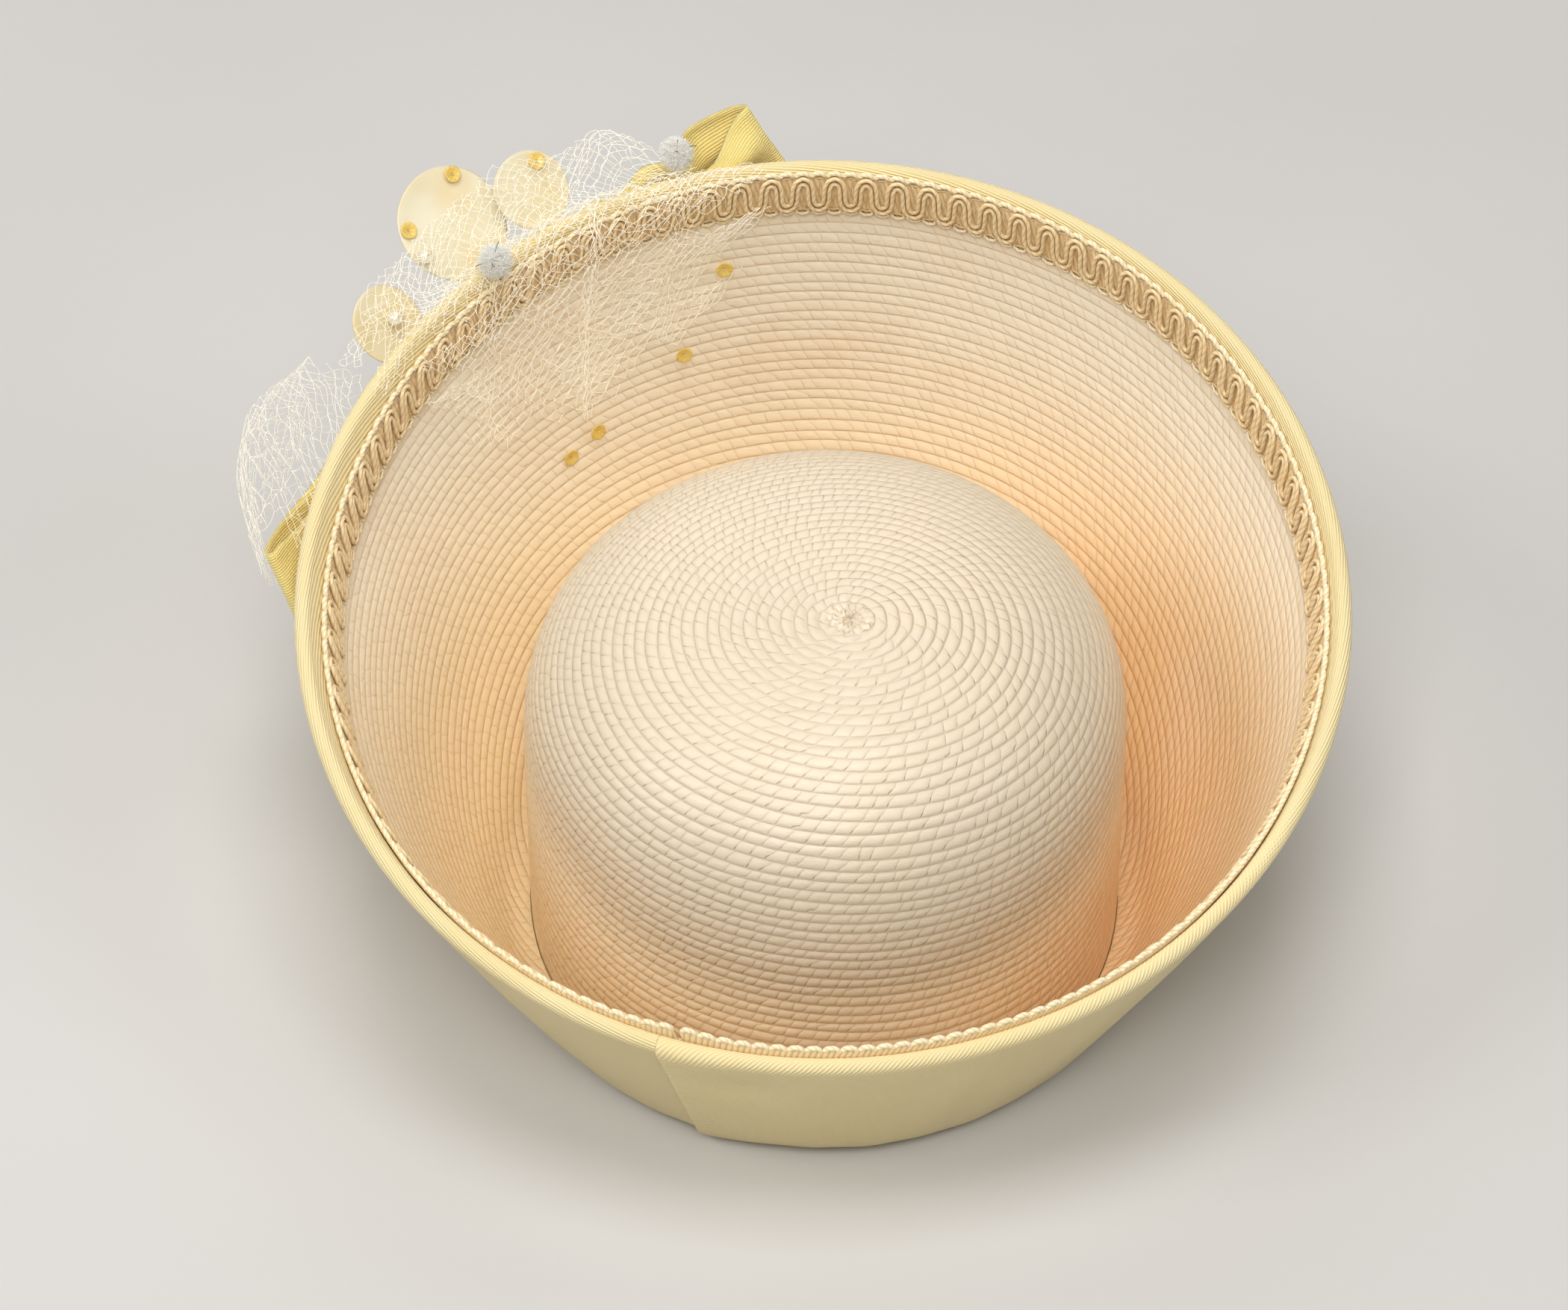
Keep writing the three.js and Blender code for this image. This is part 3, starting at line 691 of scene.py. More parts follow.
def add_back(skin, chart, columns, off, rings, flip):
    """Adds the plain far face of a straw wall, and returns its top and foot rings."""
    station = np.arange(columns) / columns * STATIONS
    length = chart.length(station, off)
    down = np.linspace(0, 1, rings)[:, None] * length
    numbers = skin.add_points(chart.point(station, down, off))
    if chart.pointed:
        numbers[0] = numbers[0, 0]
    turn = np.linspace(0, 1, columns + 1)
    rows = closed_round(down) / PITCH - turn
    skin.add_grid(closed_round(numbers), pairs(turn * PLAIN_GRAINS, rows), flip=flip)
    return numbers[0], numbers[-1]


def join_rings(skin, first, second):
    """Joins two rings of points that have the same number of columns."""
    numbers = closed_round(np.stack([first, second]))
    turn = np.linspace(0, 1, numbers.shape[1])
    skin.add_grid(numbers, pairs(turn * PLAIN_GRAINS, np.array([[0.3], [0.6]])))


def make_crown(straw):
    skin = Skin()
    columns = 256
    _, foot = add_rows(skin, crown_chart, columns, off=0.0, side=1, bold=0.5, rough=0.8)
    _, inner_foot = add_back(skin, crown_chart, columns, off=-STRAW, rings=40, flip=True)
    join_rings(skin, foot, inner_foot)
    crown = skin.build("straw_crown", straw)
    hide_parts("crown")


def make_brim(straw):
    skin = Skin()
    columns = 384
    top, foot = add_rows(skin, brim_chart, columns, off=-STRAW_FACE, side=-1, bold=0.2)
    back = add_back(skin, brim_chart, columns, off=STRAW_FACE, rings=16, flip=False)
    join_rings(skin, back[0], top)
    join_rings(skin, foot, back[1])
    brim = skin.build("straw_brim", straw)
    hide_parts("brim")


def gimp_inset(station):
    """How far the gimp's upper edge lies below the top of the rim."""
    across, forward = np.cos(angle_of(station)), np.sin(angle_of(station))
    side = np.where(across > 0, GIMP_INSET["right"], GIMP_INSET["left"])
    end = np.where(forward > 0, GIMP_INSET["front"], GIMP_INSET["back"])
    return side * across**2 + end * forward**2


# The twill's free edge at the back, where its end is folded over its start
EDGE = {"station": 33.66, "slant": -0.28, "over": 53.0, "step": 1.4, "fade": 1.5, "pull": 3.0}


def edge_station(down):
    return EDGE["station"] + EDGE["slant"] * (np.clip(down, 0, EDGE["over"]) / EDGE["over"]) ** 2


def cover_lift(station, down, room=99.0):
    """Relief of the twill: the folded edge, a soft dent beside it, and shallow pulls."""
    beyond = station - edge_station(down)
    fold = EDGE["step"] * (beyond > 0) * (1 - smooth(beyond, 0, EDGE["fade"]))
    dent = -0.9 * np.exp(-(((beyond - 1.0) / 0.8) ** 2) - ((down - 12) / 7) ** 2)
    angle = angle_of(station)
    pulls = np.sin(31 * angle + 0.05 * down) * np.sin(11 * angle - 0.04 * down + 1)
    pulls = 0.16 * pulls * smooth(down, 2, 14)
    return (fold + dent + pulls) * smooth(room, 0, 9)


# The twill's points round the hat lie closer together beside its free edge
COVER_COLUMNS = 384
BESIDE_EDGE = np.array([0.006, 0.028, 0.064, 0.12, 0.2])
EDGE_CLEAR = 0.22


def cover_stations():
    base = np.linspace(0, STATIONS, COVER_COLUMNS + 1)[:-1]
    base = base[np.abs(base - EDGE["station"]) > EDGE_CLEAR]
    tight = np.concatenate([-BESIDE_EDGE, BESIDE_EDGE])
    return np.sort(np.concatenate([base, EDGE["station"] + tight]))


def make_cover(twill):
    """The facing: under the crown's foot, up the outside, over the padded rim and in below the gimp."""
    base = cover_stations()
    length = brim_chart.length(base, COVER_OUT)
    drawn = 1 - smooth(np.abs(base - EDGE["station"]), 0.3, EDGE["pull"])
    shares = np.concatenate([np.linspace(1, 0.93, 4), np.linspace(0.9, 0.04, 40), [0.025, 0.012, 0]])
    outside = []
    for share in shares:
        station = base + (edge_station(length * share) - EDGE["station"]) * drawn
        down = brim_chart.length(station, COVER_OUT) * share
        lift = cover_lift(station, down, length * (1 - share))
        outside.append(wall(station, down, COVER_OUT + lift))
    rim = wall(base, 0, 0)
    out = unit(wall(base, 0, 1) - rim)
    up = unit(rim - wall(base, 2, 0))
    centre = rim + up * ROLL_LIFT

    def rolled(turn, radius):
        return centre + (out * math.cos(turn) + up * math.sin(turn)) * radius

    lift = cover_lift(base, 0.0)[:, None]
    roll = [
        rolled(turn, COVER_OUT + lift * (0.5 + 0.5 * math.cos(turn)))
        for turn in np.linspace(0, math.pi, 13)[1:-1]
    ]
    leg = gimp_inset(base) + GIMP_OVERLAP
    inside = [wall(base, leg * share, -COVER_OUT) for share in (0, 0.3, 0.65, 1)]
    back = [wall(base, leg * share, -COVER_IN) for share in (1, 0.5, 0)]
    back += [rolled(turn, COVER_IN) for turn in np.linspace(math.pi, 0, 5)[1:-1]]
    back += [wall(base, length * share, COVER_IN) for share in np.linspace(0, 0.98, 16)]
    foot = crown_outline(angle_of(base), STRAW)
    for height in (FLOOR_Z - COVER_IN, 0):
        back.append(np.column_stack([foot, np.full(base.size, height)]))
    rings = np.array(outside + roll + inside + back)
    skin = Skin()
    closed = closed_round(skin.add_points(rings))
    closed = np.concatenate([closed, closed[:1]])
    steps = np.linalg.norm(np.diff(rings, axis=0), axis=2).mean(axis=1)
    run = np.concatenate([[0], np.cumsum(steps)])
    run = np.append(run, run[-1] + 5)
    around_mm = np.append(base, STATIONS) * RUN_PER_STATION
    skin.add_grid(closed, pairs(around_mm, run[:, None]), flip=True)
    cover = skin.build("twill_facing", twill)
    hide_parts("brim_cover")
    girth = TAU * (RIM["radius"] + COVER_OUT)
    depth = length.max() + math.pi * COVER_OUT + leg.max()
    cut = (girth * MM, depth * MM)


# Scroll gimp: doubled cord in hairpins, over a band of looped threads
GIMP_JOINT = {"station": 33.95, "gap": 0.0022}
GIMP_RAISED = {"all_round": 1.9, "at_back": 2.4, "at_ends": 2.2, "end_mm": 9.0}
GIMP_START = GIMP_JOINT["station"] / STATIONS
GIMP_USED = 1 - GIMP_JOINT["gap"]
GIMP_REPEAT = GIMP_USED / GIMP["repeats"]
GIMP_STEPS = GIMP["repeats"] * 8
HAIRPIN = {"steps": 36, "beside": 0.8, "radius": 0.66, "rise": 4.2, "over": 1.75, "lean": 0.92}
LOOPED = {"repeat": 6, "radius": 0.26, "edge": 1.0, "over": 0.75}
BINDING = {"radius": 0.3, "edge": 1.35, "over": 0.95}
PICOT = {"repeat": 2, "edge": 0.9, "over": 0.75, "upper_radius": 0.8, "lower_radius": 0.48}


def gimp_raised(station):
    """How far the upper edge stands up on the rolled rim. It is more at the back and at the ends."""
    back = smooth(-np.sin(angle_of(station)), 0.3, 0.9)
    from_joint = (station - GIMP_JOINT["station"] + STATIONS / 2) % STATIONS - STATIONS / 2
    ends = np.exp(-((from_joint * RUN_PER_STATION / GIMP_RAISED["end_mm"]) ** 2))
    return GIMP_RAISED["all_round"] + GIMP_RAISED["at_back"] * back + GIMP_RAISED["at_ends"] * ends


def gimp_place(along, across, lift):
    """A point on the gimp: turns round the hat, millimetres below its upper edge, and height."""
    station = along * STATIONS
    across = across - gimp_raised(station) * (1 - across / GIMP["width"])
    share = np.clip(across / GIMP["width"], 0, 1)
    off = GIMP["top_off"] * (1 - share) + GIMP["foot_off"] * share
    return brim_chart.point(station, gimp_inset(station) + across, -off - lift)


def gimp_tubes(skin, along, across, lift, radius, sides):
    paths = gimp_place(along, across, lift)
    normals = unit(gimp_place(along, across, lift + 1) - paths)
    tubes(skin, paths, normals, radius, sides)


def gimp_middles(count):
    """The middles of that many even steps along the gimp, as turns round the hat."""
    return GIMP_START + (np.arange(count)[:, None] + 0.5) / count * GIMP_USED


def make_hairpins(cord):
    """Two cords side by side, in hairpins from one edge of the gimp to the other."""
    skin = Skin()
    turn = np.arange(GIMP["repeats"] * HAIRPIN["steps"] + 1) / HAIRPIN["steps"] * TAU
    run_mm = TAU * RIM["radius"] / GIMP["repeats"]
    lean = run_mm / (2 * TAU) * HAIRPIN["lean"]
    middle_mm = turn / TAU * run_mm - lean * np.sin(2 * turn)
    rise = HAIRPIN["rise"] * np.sin(turn)
    pace = unit(np.stack([np.gradient(middle_mm), np.gradient(rise)], axis=1))
    over = HAIRPIN["over"] + 0.2 * np.cos(2 * turn + 0.6)
    for beside in (-HAIRPIN["beside"], HAIRPIN["beside"]):
        along = GIMP_START + (middle_mm - pace[:, 1] * beside) / run_mm * GIMP_REPEAT
        across = GIMP["width"] / 2 - (rise + pace[:, 0] * beside)
        gimp_tubes(skin, along[None], across[None], over[None], HAIRPIN["radius"], 6)
    gimp = skin.build("scroll_gimp", cord)
    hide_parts("gimp_braid")


# The section of the padded band: how far below the gimp's upper edge, and how high
GIMP_BASE = [(0.4, 0.05), (0.3, 0.5), (1.6, 0.75), (6.2, 0.85), (10.8, 0.75), (12.2, 0.5), (12.1, 0.05)]


def make_gimp_backing(cord):
    """The padded band behind the hairpins, the threads looped over it and those that bind it."""
    skin = Skin()
    along = GIMP_START + np.arange(GIMP_STEPS + 1) / GIMP_STEPS * GIMP_USED
    across, lift = np.array(GIMP_BASE + GIMP_BASE[:1]).T
    numbers = skin.add_points(gimp_place(along[:, None], across[:-1], lift[:-1]))
    chart = pairs(along[:, None] * TAU * RIM["radius"], across / 9)
    skin.add_grid(closed_round(numbers), chart)
    for k in range(1, len(GIMP_BASE) - 1):
        skin.add_triangle(numbers[0, [0, k, k + 1]])
        skin.add_triangle(numbers[-1, [0, k + 1, k]])
    threads = GIMP["repeats"] * LOOPED["repeat"]
    number = np.arange(threads)[:, None]
    share = np.linspace(0, 1, 8)
    lean = 0.16 * np.sin(number * 2.4)
    across = LOOPED["edge"] + (GIMP["width"] - 2 * LOOPED["edge"]) * share
    lift = LOOPED["over"] + 0.1 * np.sin(share * TAU * 2 + number)
    looped = gimp_middles(threads) + (share - 0.5) * lean * GIMP_REPEAT
    gimp_tubes(skin, looped, across, lift, LOOPED["radius"], 4)
    ripple = 0.22 * np.sin(np.arange(GIMP_STEPS + 1) * 2.1)
    for across_mm in (BINDING["edge"], GIMP["width"] - BINDING["edge"]):
        across = (across_mm + ripple)[None]
        gimp_tubes(skin, along[None], across, BINDING["over"], BINDING["radius"], 4)
    skin.build("gimp_backing", cord)


def make_picots(cord):
    """Small loops of cord along both edges of the gimp, fuller at the upper one."""
    skin = Skin()
    bend = np.linspace(0, math.pi, 8)
    middles = gimp_middles(GIMP["repeats"] * PICOT["repeat"])
    along = middles - np.cos(bend) * GIMP_REPEAT * 0.2
    lift = PICOT["over"] + 0.25 * np.sin(bend)
    gimp_tubes(skin, along, PICOT["edge"] - np.sin(bend), lift, PICOT["upper_radius"], 6)
    lower = GIMP["width"] - PICOT["edge"]
    gimp_tubes(skin, along, lower + np.sin(bend), lift, PICOT["lower_radius"], 6)
    skin.build("gimp_picots", cord)


# Ribbon bow, told by run along the rim to the left of the knot and by rise above the knot
BOW = {"station": 18.0, "down": 50.0, "knot_half": 5.0, "knot_wide": 17.0, "knot_thick": 9.0}
BOW_BACK = 3.4
LOOPS = {
    "bow_loop_left": {
        "side": 1, "length": 104.0, "lean": 15.0, "width": 46.0, "slant": 9.0, "swell": 13.0,
        "lift": 9.0, "shut": 0.75, "bulge": 1.2, "crumple": 0.7, "near_edge": 0.06, "far_edge": 0.0,
    },
    "bow_loop_right": {
        "side": -1, "length": 116.0, "lean": 23.0, "width": 46.0, "slant": -5.0, "swell": 14.0,
        "lift": 6.0, "shut": 0.2, "bulge": 6.0, "crumple": 1.1, "near_edge": 0.32, "far_edge": 0.22,
    },
}
PINCH = 0.36
PINCH_END = 0.5
LOOP_TIP = 3.0
LOOP_THICK = 0.7
LOOP_STEPS = 56
LOOP_BANDS = 26


def on_wall(run, rise, off):
    return wall(BOW["station"] + run / RUN_PER_STATION, BOW["down"] - rise, off)


def loop_line(loop):
    """The ribbon's line in a loop: out along the wall, round at the tip and back further out."""
    steps = LOOP_STEPS
    start = BOW["knot_half"] + GAP + RIBBON / 2
    end = loop["length"] - RIBBON / 2 - LOOP_TIP / 2
    t = np.linspace(0, 1, steps)
    reach = start + (end - start) * t
    near = BOW_BACK + loop["lift"] * t * t
    belly = loop["swell"] * np.clip(np.sin(math.pi * np.sqrt(t)), 0, 1) ** 0.8
    belly = belly * (1 - loop["shut"] * smooth(t, 0.3, 0.7))
    far = near + 6 + (LOOP_TIP - 6) * t + belly
    bend = np.linspace(-math.pi / 2, math.pi / 2, 9)[1:-1]
    tip_reach = end + LOOP_TIP / 2 * np.cos(bend)
    tip_off = near[-1] + LOOP_TIP / 2 * (1 + np.sin(bend))
    layer = np.concatenate([np.zeros(steps), np.full(len(bend), 0.5), np.ones(steps)])
    reach = np.concatenate([reach, tip_reach, reach[::-1]])
    off = np.concatenate([near, tip_off, far[::-1]])
    return reach, off, layer


def loop_point(loop, reach, off, across):
    """Gathered at the knot, full width from halfway, leaning up to the tip."""
    t = np.clip((reach - BOW["knot_half"]) / (loop["length"] - BOW["knot_half"]), 0, 1)
    opened = smooth(t, 0, PINCH_END)
    spread = (PINCH + (1 - PINCH) * opened) * across * loop["width"]
    lean = math.radians(loop["lean"])
    run = (reach + across * loop["slant"] * opened) * np.cos(lean * opened)
    run = run - spread * np.sin(lean * opened)
    rise = reach * math.sin(lean) * t**0.15 + spread * np.cos(lean * opened)
    return on_wall(loop["side"] * run, rise, off)


def loop_relief(loop, t, layer, across):
    """A loop's pleats, bulge and crumples, and where its threads lie across the wall.

    t is the share of the loop's length, and layer is 0 in its near layer and 1 in its far one.
    """
    pleat = np.sin(across * 19 + 1.2 * loop["side"]) + 0.5 * np.sin(across * 37 + 2)
    depth = 1.15 * (1 - smooth(t, 0.08, 0.62)) + 0.25
    sway = np.sin(t * 9 + 3 * layer) * np.cos(across * 5 + layer * 2)
    wave = (depth * pleat + 0.9 * sway * smooth(t, 0.15, 0.5)) * (0.35 + 0.65 * layer)
    wave = wave * (1 - 0.8 * smooth(t, 0.9, 1.0))
    near, far = 1 - layer, layer
    drop = loop["near_edge"] * near * (1 - smooth(t, 0.85, 0.99))
    drop = drop + loop["far_edge"] * far * (1 - smooth(t, 0.77, 0.86)) * (1 + 0.35 * np.sin(t * 42))
    place = across * np.where(across > 0, 1 - drop, 1.0)
    bulge = np.exp(-(((place - 0.27) / 0.11) ** 2)) * smooth(t, 0.45, 0.75)
    wave = wave - loop["bulge"] * near * bulge * (1 - 0.6 * smooth(t, 0.93, 1))
    crumple = np.sin(across * 13 + t * 9) + 0.6 * np.sin(across * 21 - t * 17 + 1)
    wave = wave + loop["crumple"] * far * crumple * smooth(t, 0.3, 0.6) * (1 - smooth(t, 0.96, 1))
    return wave, place


def make_loop(name, loop, ribbon):
    """One loop of the bow: a folded ribbon with pleats that run out of the knot."""
    reach, off, layer = loop_line(loop)
    across = np.linspace(-0.5, 0.5, LOOP_BANDS + 1)
    t = reach / loop["length"]
    wave, place = loop_relief(loop, t[:, None], layer[:, None], across)
    pace = unit(np.column_stack([np.gradient(reach), np.gradient(off)]))
    skin = Skin()
    faces = []
    for beside in (LOOP_THICK / 2, -LOOP_THICK / 2):
        edge_reach = (reach + pace[:, 1] * beside)[:, None]
        edge_off = (off - pace[:, 0] * beside)[:, None] + wave
        faces.append(skin.add_points(loop_point(loop, edge_reach, edge_off, place)))
    outer, inner = faces
    flip = loop["side"] > 0
    along_mm = np.concatenate([[0], np.cumsum(np.hypot(np.diff(reach), np.diff(off)))])
    chart = pairs(along_mm[:, None], across * loop["width"])
    skin.add_grid(outer, chart, flip=not flip)
    skin.add_grid(inner, chart, flip=flip)
    for k, turned in ((0, flip), (-1, not flip)):
        skin.add_grid(np.stack([outer[:, k], inner[:, k]], axis=1), chart[:, :2], flip=turned)
        skin.add_grid(np.stack([outer[k], inner[k]]), chart[:2], flip=turned)
    piece = skin.build(name + "_ribbon", ribbon)
    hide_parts(name)


def make_knot(ribbon):
    """A short gathered band across the middle of the bow."""
    skin = Skin()
    turn = np.linspace(0, math.pi, 40)
    run = np.linspace(-BOW["knot_half"], BOW["knot_half"], 25)[:, None]
    share = run / BOW["knot_half"]
    fullness = 0.93 + 0.17 * (1 - share**2)
    gather = 0.35 * np.sin(share * 7.5 + 0.6 * np.sin(turn * 3)) * np.sin(turn)
    off = COVER_OUT + GAP + (BOW["knot_thick"] * fullness) * np.sin(turn) ** 0.55 + gather
    wide = BOW["knot_wide"] / 2 * np.cos(turn) * (1 + 0.04 * np.cos(share * 8))
    front = skin.add_points(on_wall(run, wide, off))
    back = skin.add_points(on_wall(run, wide, COVER_OUT + GAP))
    chart = pairs(turn / math.pi * 30, run)
    skin.add_grid(front, chart, flip=True)
    skin.add_grid(back, chart)
    for k, turned in ((0, False), (-1, True)):
        skin.add_grid(np.stack([front[k], back[k]]), chart[:2], flip=turned)
        skin.add_grid(np.stack([front[:, k], back[:, k]], axis=1), chart[:, :2], flip=not turned)
    piece = skin.build("bow_knot_ribbon", ribbon)
    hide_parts("bow_knot")


# Petals and what is sewn on them
PETAL_THICK = 1.0
PETAL_CUP = 0.45
PETALS = [
    {"station": 16.35, "rise": 9.2, "seat": 2.2, "radius": 11.5, "lean": 34.0},
    {"station": 17.6, "rise": 11.2, "seat": 1.8, "radius": 17.0, "lean": 36.0},
    {"station": 19.2, "rise": 2.6, "seat": 0.5, "radius": 11.7, "lean": 32.0},
]
PEARL_RADIUS = 2.3
PEARL_BORE = 0.32
PAILLETTE = {"radius": 2.5, "thick": 0.8}
ON_PETALS = [
    {"name": "pearl_1", "petal": 1, "left": 13.5, "up": -6.0},
    {"name": "pearl_2", "petal": 2, "left": -1.5, "up": 0.5},
    {"name": "paillette_1", "petal": 0, "left": -4.0, "up": 7.4},
    {"name": "paillette_2", "petal": 1, "left": -6.3, "up": 13.0},
    {"name": "paillette_3", "petal": 1, "left": 14.0, "up": 3.0},
]
INSIDE_PAILLETTES = [
    {"name": "paillette_4", "station": 13.58, "down": 29.0, "net": True},
    {"name": "paillette_5", "station": 14.33, "down": 55.0, "net": True},
    {"name": "paillette_6", "station": 16.05, "down": 68.0, "net": True},
    {"name": "paillette_7", "station": 16.6, "down": 72.0, "net": False},
]
NET = 1.0


def petal_frame(petal):
    """The middle of a petal, its left, its rising direction and the way its inner face looks."""
    lean = math.radians(petal["lean"])
    off = COVER_OUT + GAP + PETAL_THICK / 2 + petal["seat"] + petal["radius"] * math.sin(lean)
    centre = wall(petal["station"], -petal["rise"], off)
    up = unit(wall(petal["station"], -petal["rise"] - 1, off) - centre)
    out = unit(wall(petal["station"], -petal["rise"], off + 1) - centre)
    rising = up * math.cos(lean) + out * math.sin(lean)
    left = unit(np.cross(rising, out))
    return centre, left, rising, unit(np.cross(rising, left))


def turned_disc(skin, frame_of_disc, section, sides, wave=0.0, facets=0):
    """A body of revolution from (radius, height) pairs, laid flat. The section closes on the axis."""
    centre, left, rising, facing = frame_of_disc
    angle = np.arange(sides) / sides * TAU
    section = np.array(section, float)
    radius, height = section[:, :1], section[:, 1:]
    share = radius / radius.max()
    lift = height + wave * 8 * np.sin(2 * angle) * share**2
    if facets:
        lift = lift + 0.09 * np.cos(facets * angle) * share
    plan = radius * (1 + wave * np.sin(3 * angle + 1) * share**2)
    points = (
        centre
        + (plan * np.cos(angle))[..., None] * left
        + (plan * np.sin(angle))[..., None] * rising
        + lift[..., None] * facing
    )
    numbers = skin.add_points(points)
    for k in (0, -1):
        if radius[k, 0] == 0:
            numbers[k] = numbers[k, 0]
    closed = closed_round(numbers)
    if radius[0, 0] > 0:
        closed = np.concatenate([closed, closed[:1]])
    turn = np.linspace(0, 1, sides + 1)
    across = np.append(radius[:, 0], radius[0, 0])[: len(closed), None]
    skin.add_grid(closed, pairs(turn, across))


def make_petals(film):
    for k, petal in enumerate(PETALS):
        radius, half = petal["radius"], PETAL_THICK / 2 - 0.15
        shares = np.linspace(0, 0.97, 14)
        cup = 0.9 * shares**2 - PETAL_CUP
        front = list(zip(radius * shares, cup + half))
        behind = list(zip(radius * shares, cup - half))
        edge = [(radius, half * 0.5 + PETAL_CUP), (radius, -half * 0.5 + PETAL_CUP)]
        skin = Skin()
        turned_disc(skin, petal_frame(petal), front + edge + behind[::-1], 64, wave=0.012)
        piece = skin.build(f"petal_film_{k + 1}", film)
        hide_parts(f"petal_{k + 1}")


def sewn_frames():
    """The middle, left, rising and facing ways of each pearl and paillette, by its name."""
    frames = {}
    for item in ON_PETALS:
        centre, left, rising, facing = petal_frame(PETALS[item["petal"]])
        half = PEARL_RADIUS if item["name"].startswith("pearl") else PAILLETTE["thick"] / 2
        centre = centre + left * item["left"] + rising * item["up"]
        centre = centre + facing * (PETAL_THICK / 2 + GAP + half)
        frames[item["name"]] = (centre, left, rising, facing)
    for item in INSIDE_PAILLETTES:
        net = NET + 3 * GAP if item["net"] else 0
        off = -(STRAW_FACE + GAP + net + PAILLETTE["thick"] / 2 + 0.1)
        centre = wall(item["station"], item["down"], off)
        left = unit(wall(item["station"] + 0.1, item["down"], off) - centre)
        facing = unit(wall(item["station"], item["down"], off - 1) - centre)
        frames[item["name"]] = (centre, left, unit(np.cross(facing, left)), facing)
    return frames


def pearl_section():
    sweep = np.linspace(0.16, math.pi - 0.16, 22)
    outer = [(PEARL_RADIUS * math.sin(a), PEARL_RADIUS * math.cos(a)) for a in sweep]
    return outer + [(PEARL_BORE, -PEARL_RADIUS * 0.9), (PEARL_BORE, PEARL_RADIUS * 0.9)]


def paillette_section():
    half = 0.14
    front = [(0.35, half - 0.2), (0.9, half - 0.16), (1.6, half + 0.02), (2.3, half + 0.28)]
    behind = [(2.3, -half + 0.26), (1.6, -half), (0.9, -half - 0.18), (0.35, -half - 0.2)]
    return front + [(PAILLETTE["radius"], 0.3)] + behind


def make_pearls_and_paillettes(pearl, sequin, thread):
    """Pearls are drilled through. Paillettes are thin faceted cups with a hole in the middle."""
    for name, sewn_frame in sewn_frames().items():
        skin = Skin()
        if name.startswith("pearl"):
            turned_disc(skin, sewn_frame, pearl_section(), 32)
            piece = skin.build(name + "_bead", pearl)
            reach, clear = PEARL_RADIUS * 0.9, PEARL_RADIUS
        else:
            turned_disc(skin, sewn_frame, paillette_section(), 36, facets=9)
            piece = skin.build(name + "_cup", sequin)
            reach, clear = 0.9, 0.1
        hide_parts(name)
        centre, left, _, facing = sewn_frame
        run = np.linspace(-1, 1, 9)
        arch = 0.28 * (1 - run**2) + clear
        line = centre + (run * reach * 0.5)[:, None] * left + arch[:, None] * facing
        stitch = Skin()
        tubes(stitch, line[None], facing, 0.12, 5)
        stitch.build(name + "_stitch", thread)


# Cotton pompoms on the rolled rim
POMPOM_RADIUS = 4.0
POMPOMS = [{"station": 17.6, "off": -6.2}, {"station": 14.2, "off": 3.6}]
FIBRES = 2600
FIBRE_START = 0.6
ROLL_CLEAR = COVER_OUT + GAP + NET / 2 + 0.5


def make_pompoms(fluff, thread):
    """Fluffy balls: a lumpy core under many short fibres, tied with dark thread."""
    for k, pompom in enumerate(POMPOMS):
        rng = np.random.default_rng(40 + k)
        away = ROLL_CLEAR + NET / 2 + 1 + POMPOM_RADIUS
        rise = ROLL_LIFT + math.sqrt(away * away - pompom["off"] ** 2)
        centre = wall(pompom["station"], -rise, pompom["off"])
        skin = Skin()
        sweep = np.linspace(0, math.pi, 18)
        core = POMPOM_RADIUS * 0.66
        section = [(core * math.sin(a) if 0 < a < 3.1 else 0.0, core * math.cos(a)) for a in sweep]
        turned_disc(skin, (centre, *np.eye(3)), section, 26, wave=0.1)
        tilt = np.arccos(rng.uniform(-1, 1, FIBRES))
        turn = rng.uniform(0, TAU, FIBRES)
        way = np.stack([np.sin(tilt) * np.cos(turn), np.sin(tilt) * np.sin(turn), np.cos(tilt)], -1)
        side = unit(np.cross(way, rng.normal(size=(FIBRES, 3))))[:, None]
        reach = POMPOM_RADIUS * rng.uniform(0.8, 1.3, (FIBRES, 1, 1)) ** 1.2
        share = np.linspace(FIBRE_START, 1, 5)[:, None]
        bend = ((share - FIBRE_START) / (1 - FIBRE_START)) ** 2
        curl = rng.uniform(0.6, 2.2, (FIBRES, 1, 1)) * bend
        paths = centre + way[:, None] * reach * share + side * curl
        tubes(skin, paths, side, np.linspace(0.09, 0.05, 5), 3)
        piece = skin.build(f"pompom_{k + 1}_fluff", fluff)
        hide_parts(f"pompom_{k + 1}")
        ends = Skin()
        for end in range(3):
            way = unit(rng.normal(size=3) * (1, 0.6, 0.5) + np.array([0.6 * (end - 1), -0.8, 0.7]))
            side = unit(np.cross(way, rng.normal(size=3)))
            share = np.linspace(0, 1, 10)[:, None]
            line = centre + way * (3.2 + 3.4 * share) + side * (1.6 * share**2)
            tubes(ends, line[None], side, 0.11, 5)
        ends.build(f"pompom_{k + 1}_thread_ends", thread)


# Veil: fine net, in two slanting families of threads over a curved surface
VEIL_INNER = {"from": 12.8, "to": 19.6, "shortest": 22.0, "longest": 66.0}
VEIL_CLUSTER = {"from": 13.9, "to": 20.5}
VEIL_PUFF = {"from": 20.1, "to": 23.2, "peak": 0.62}
PUFF_STEPS = [(1, 3.4), (-14, 10), (-20, 19), (-9, 26), (6, 27), (20, 26.5)]


def station_across(veil, u):
    return veil["from"] + (veil["to"] - veil["from"]) * u


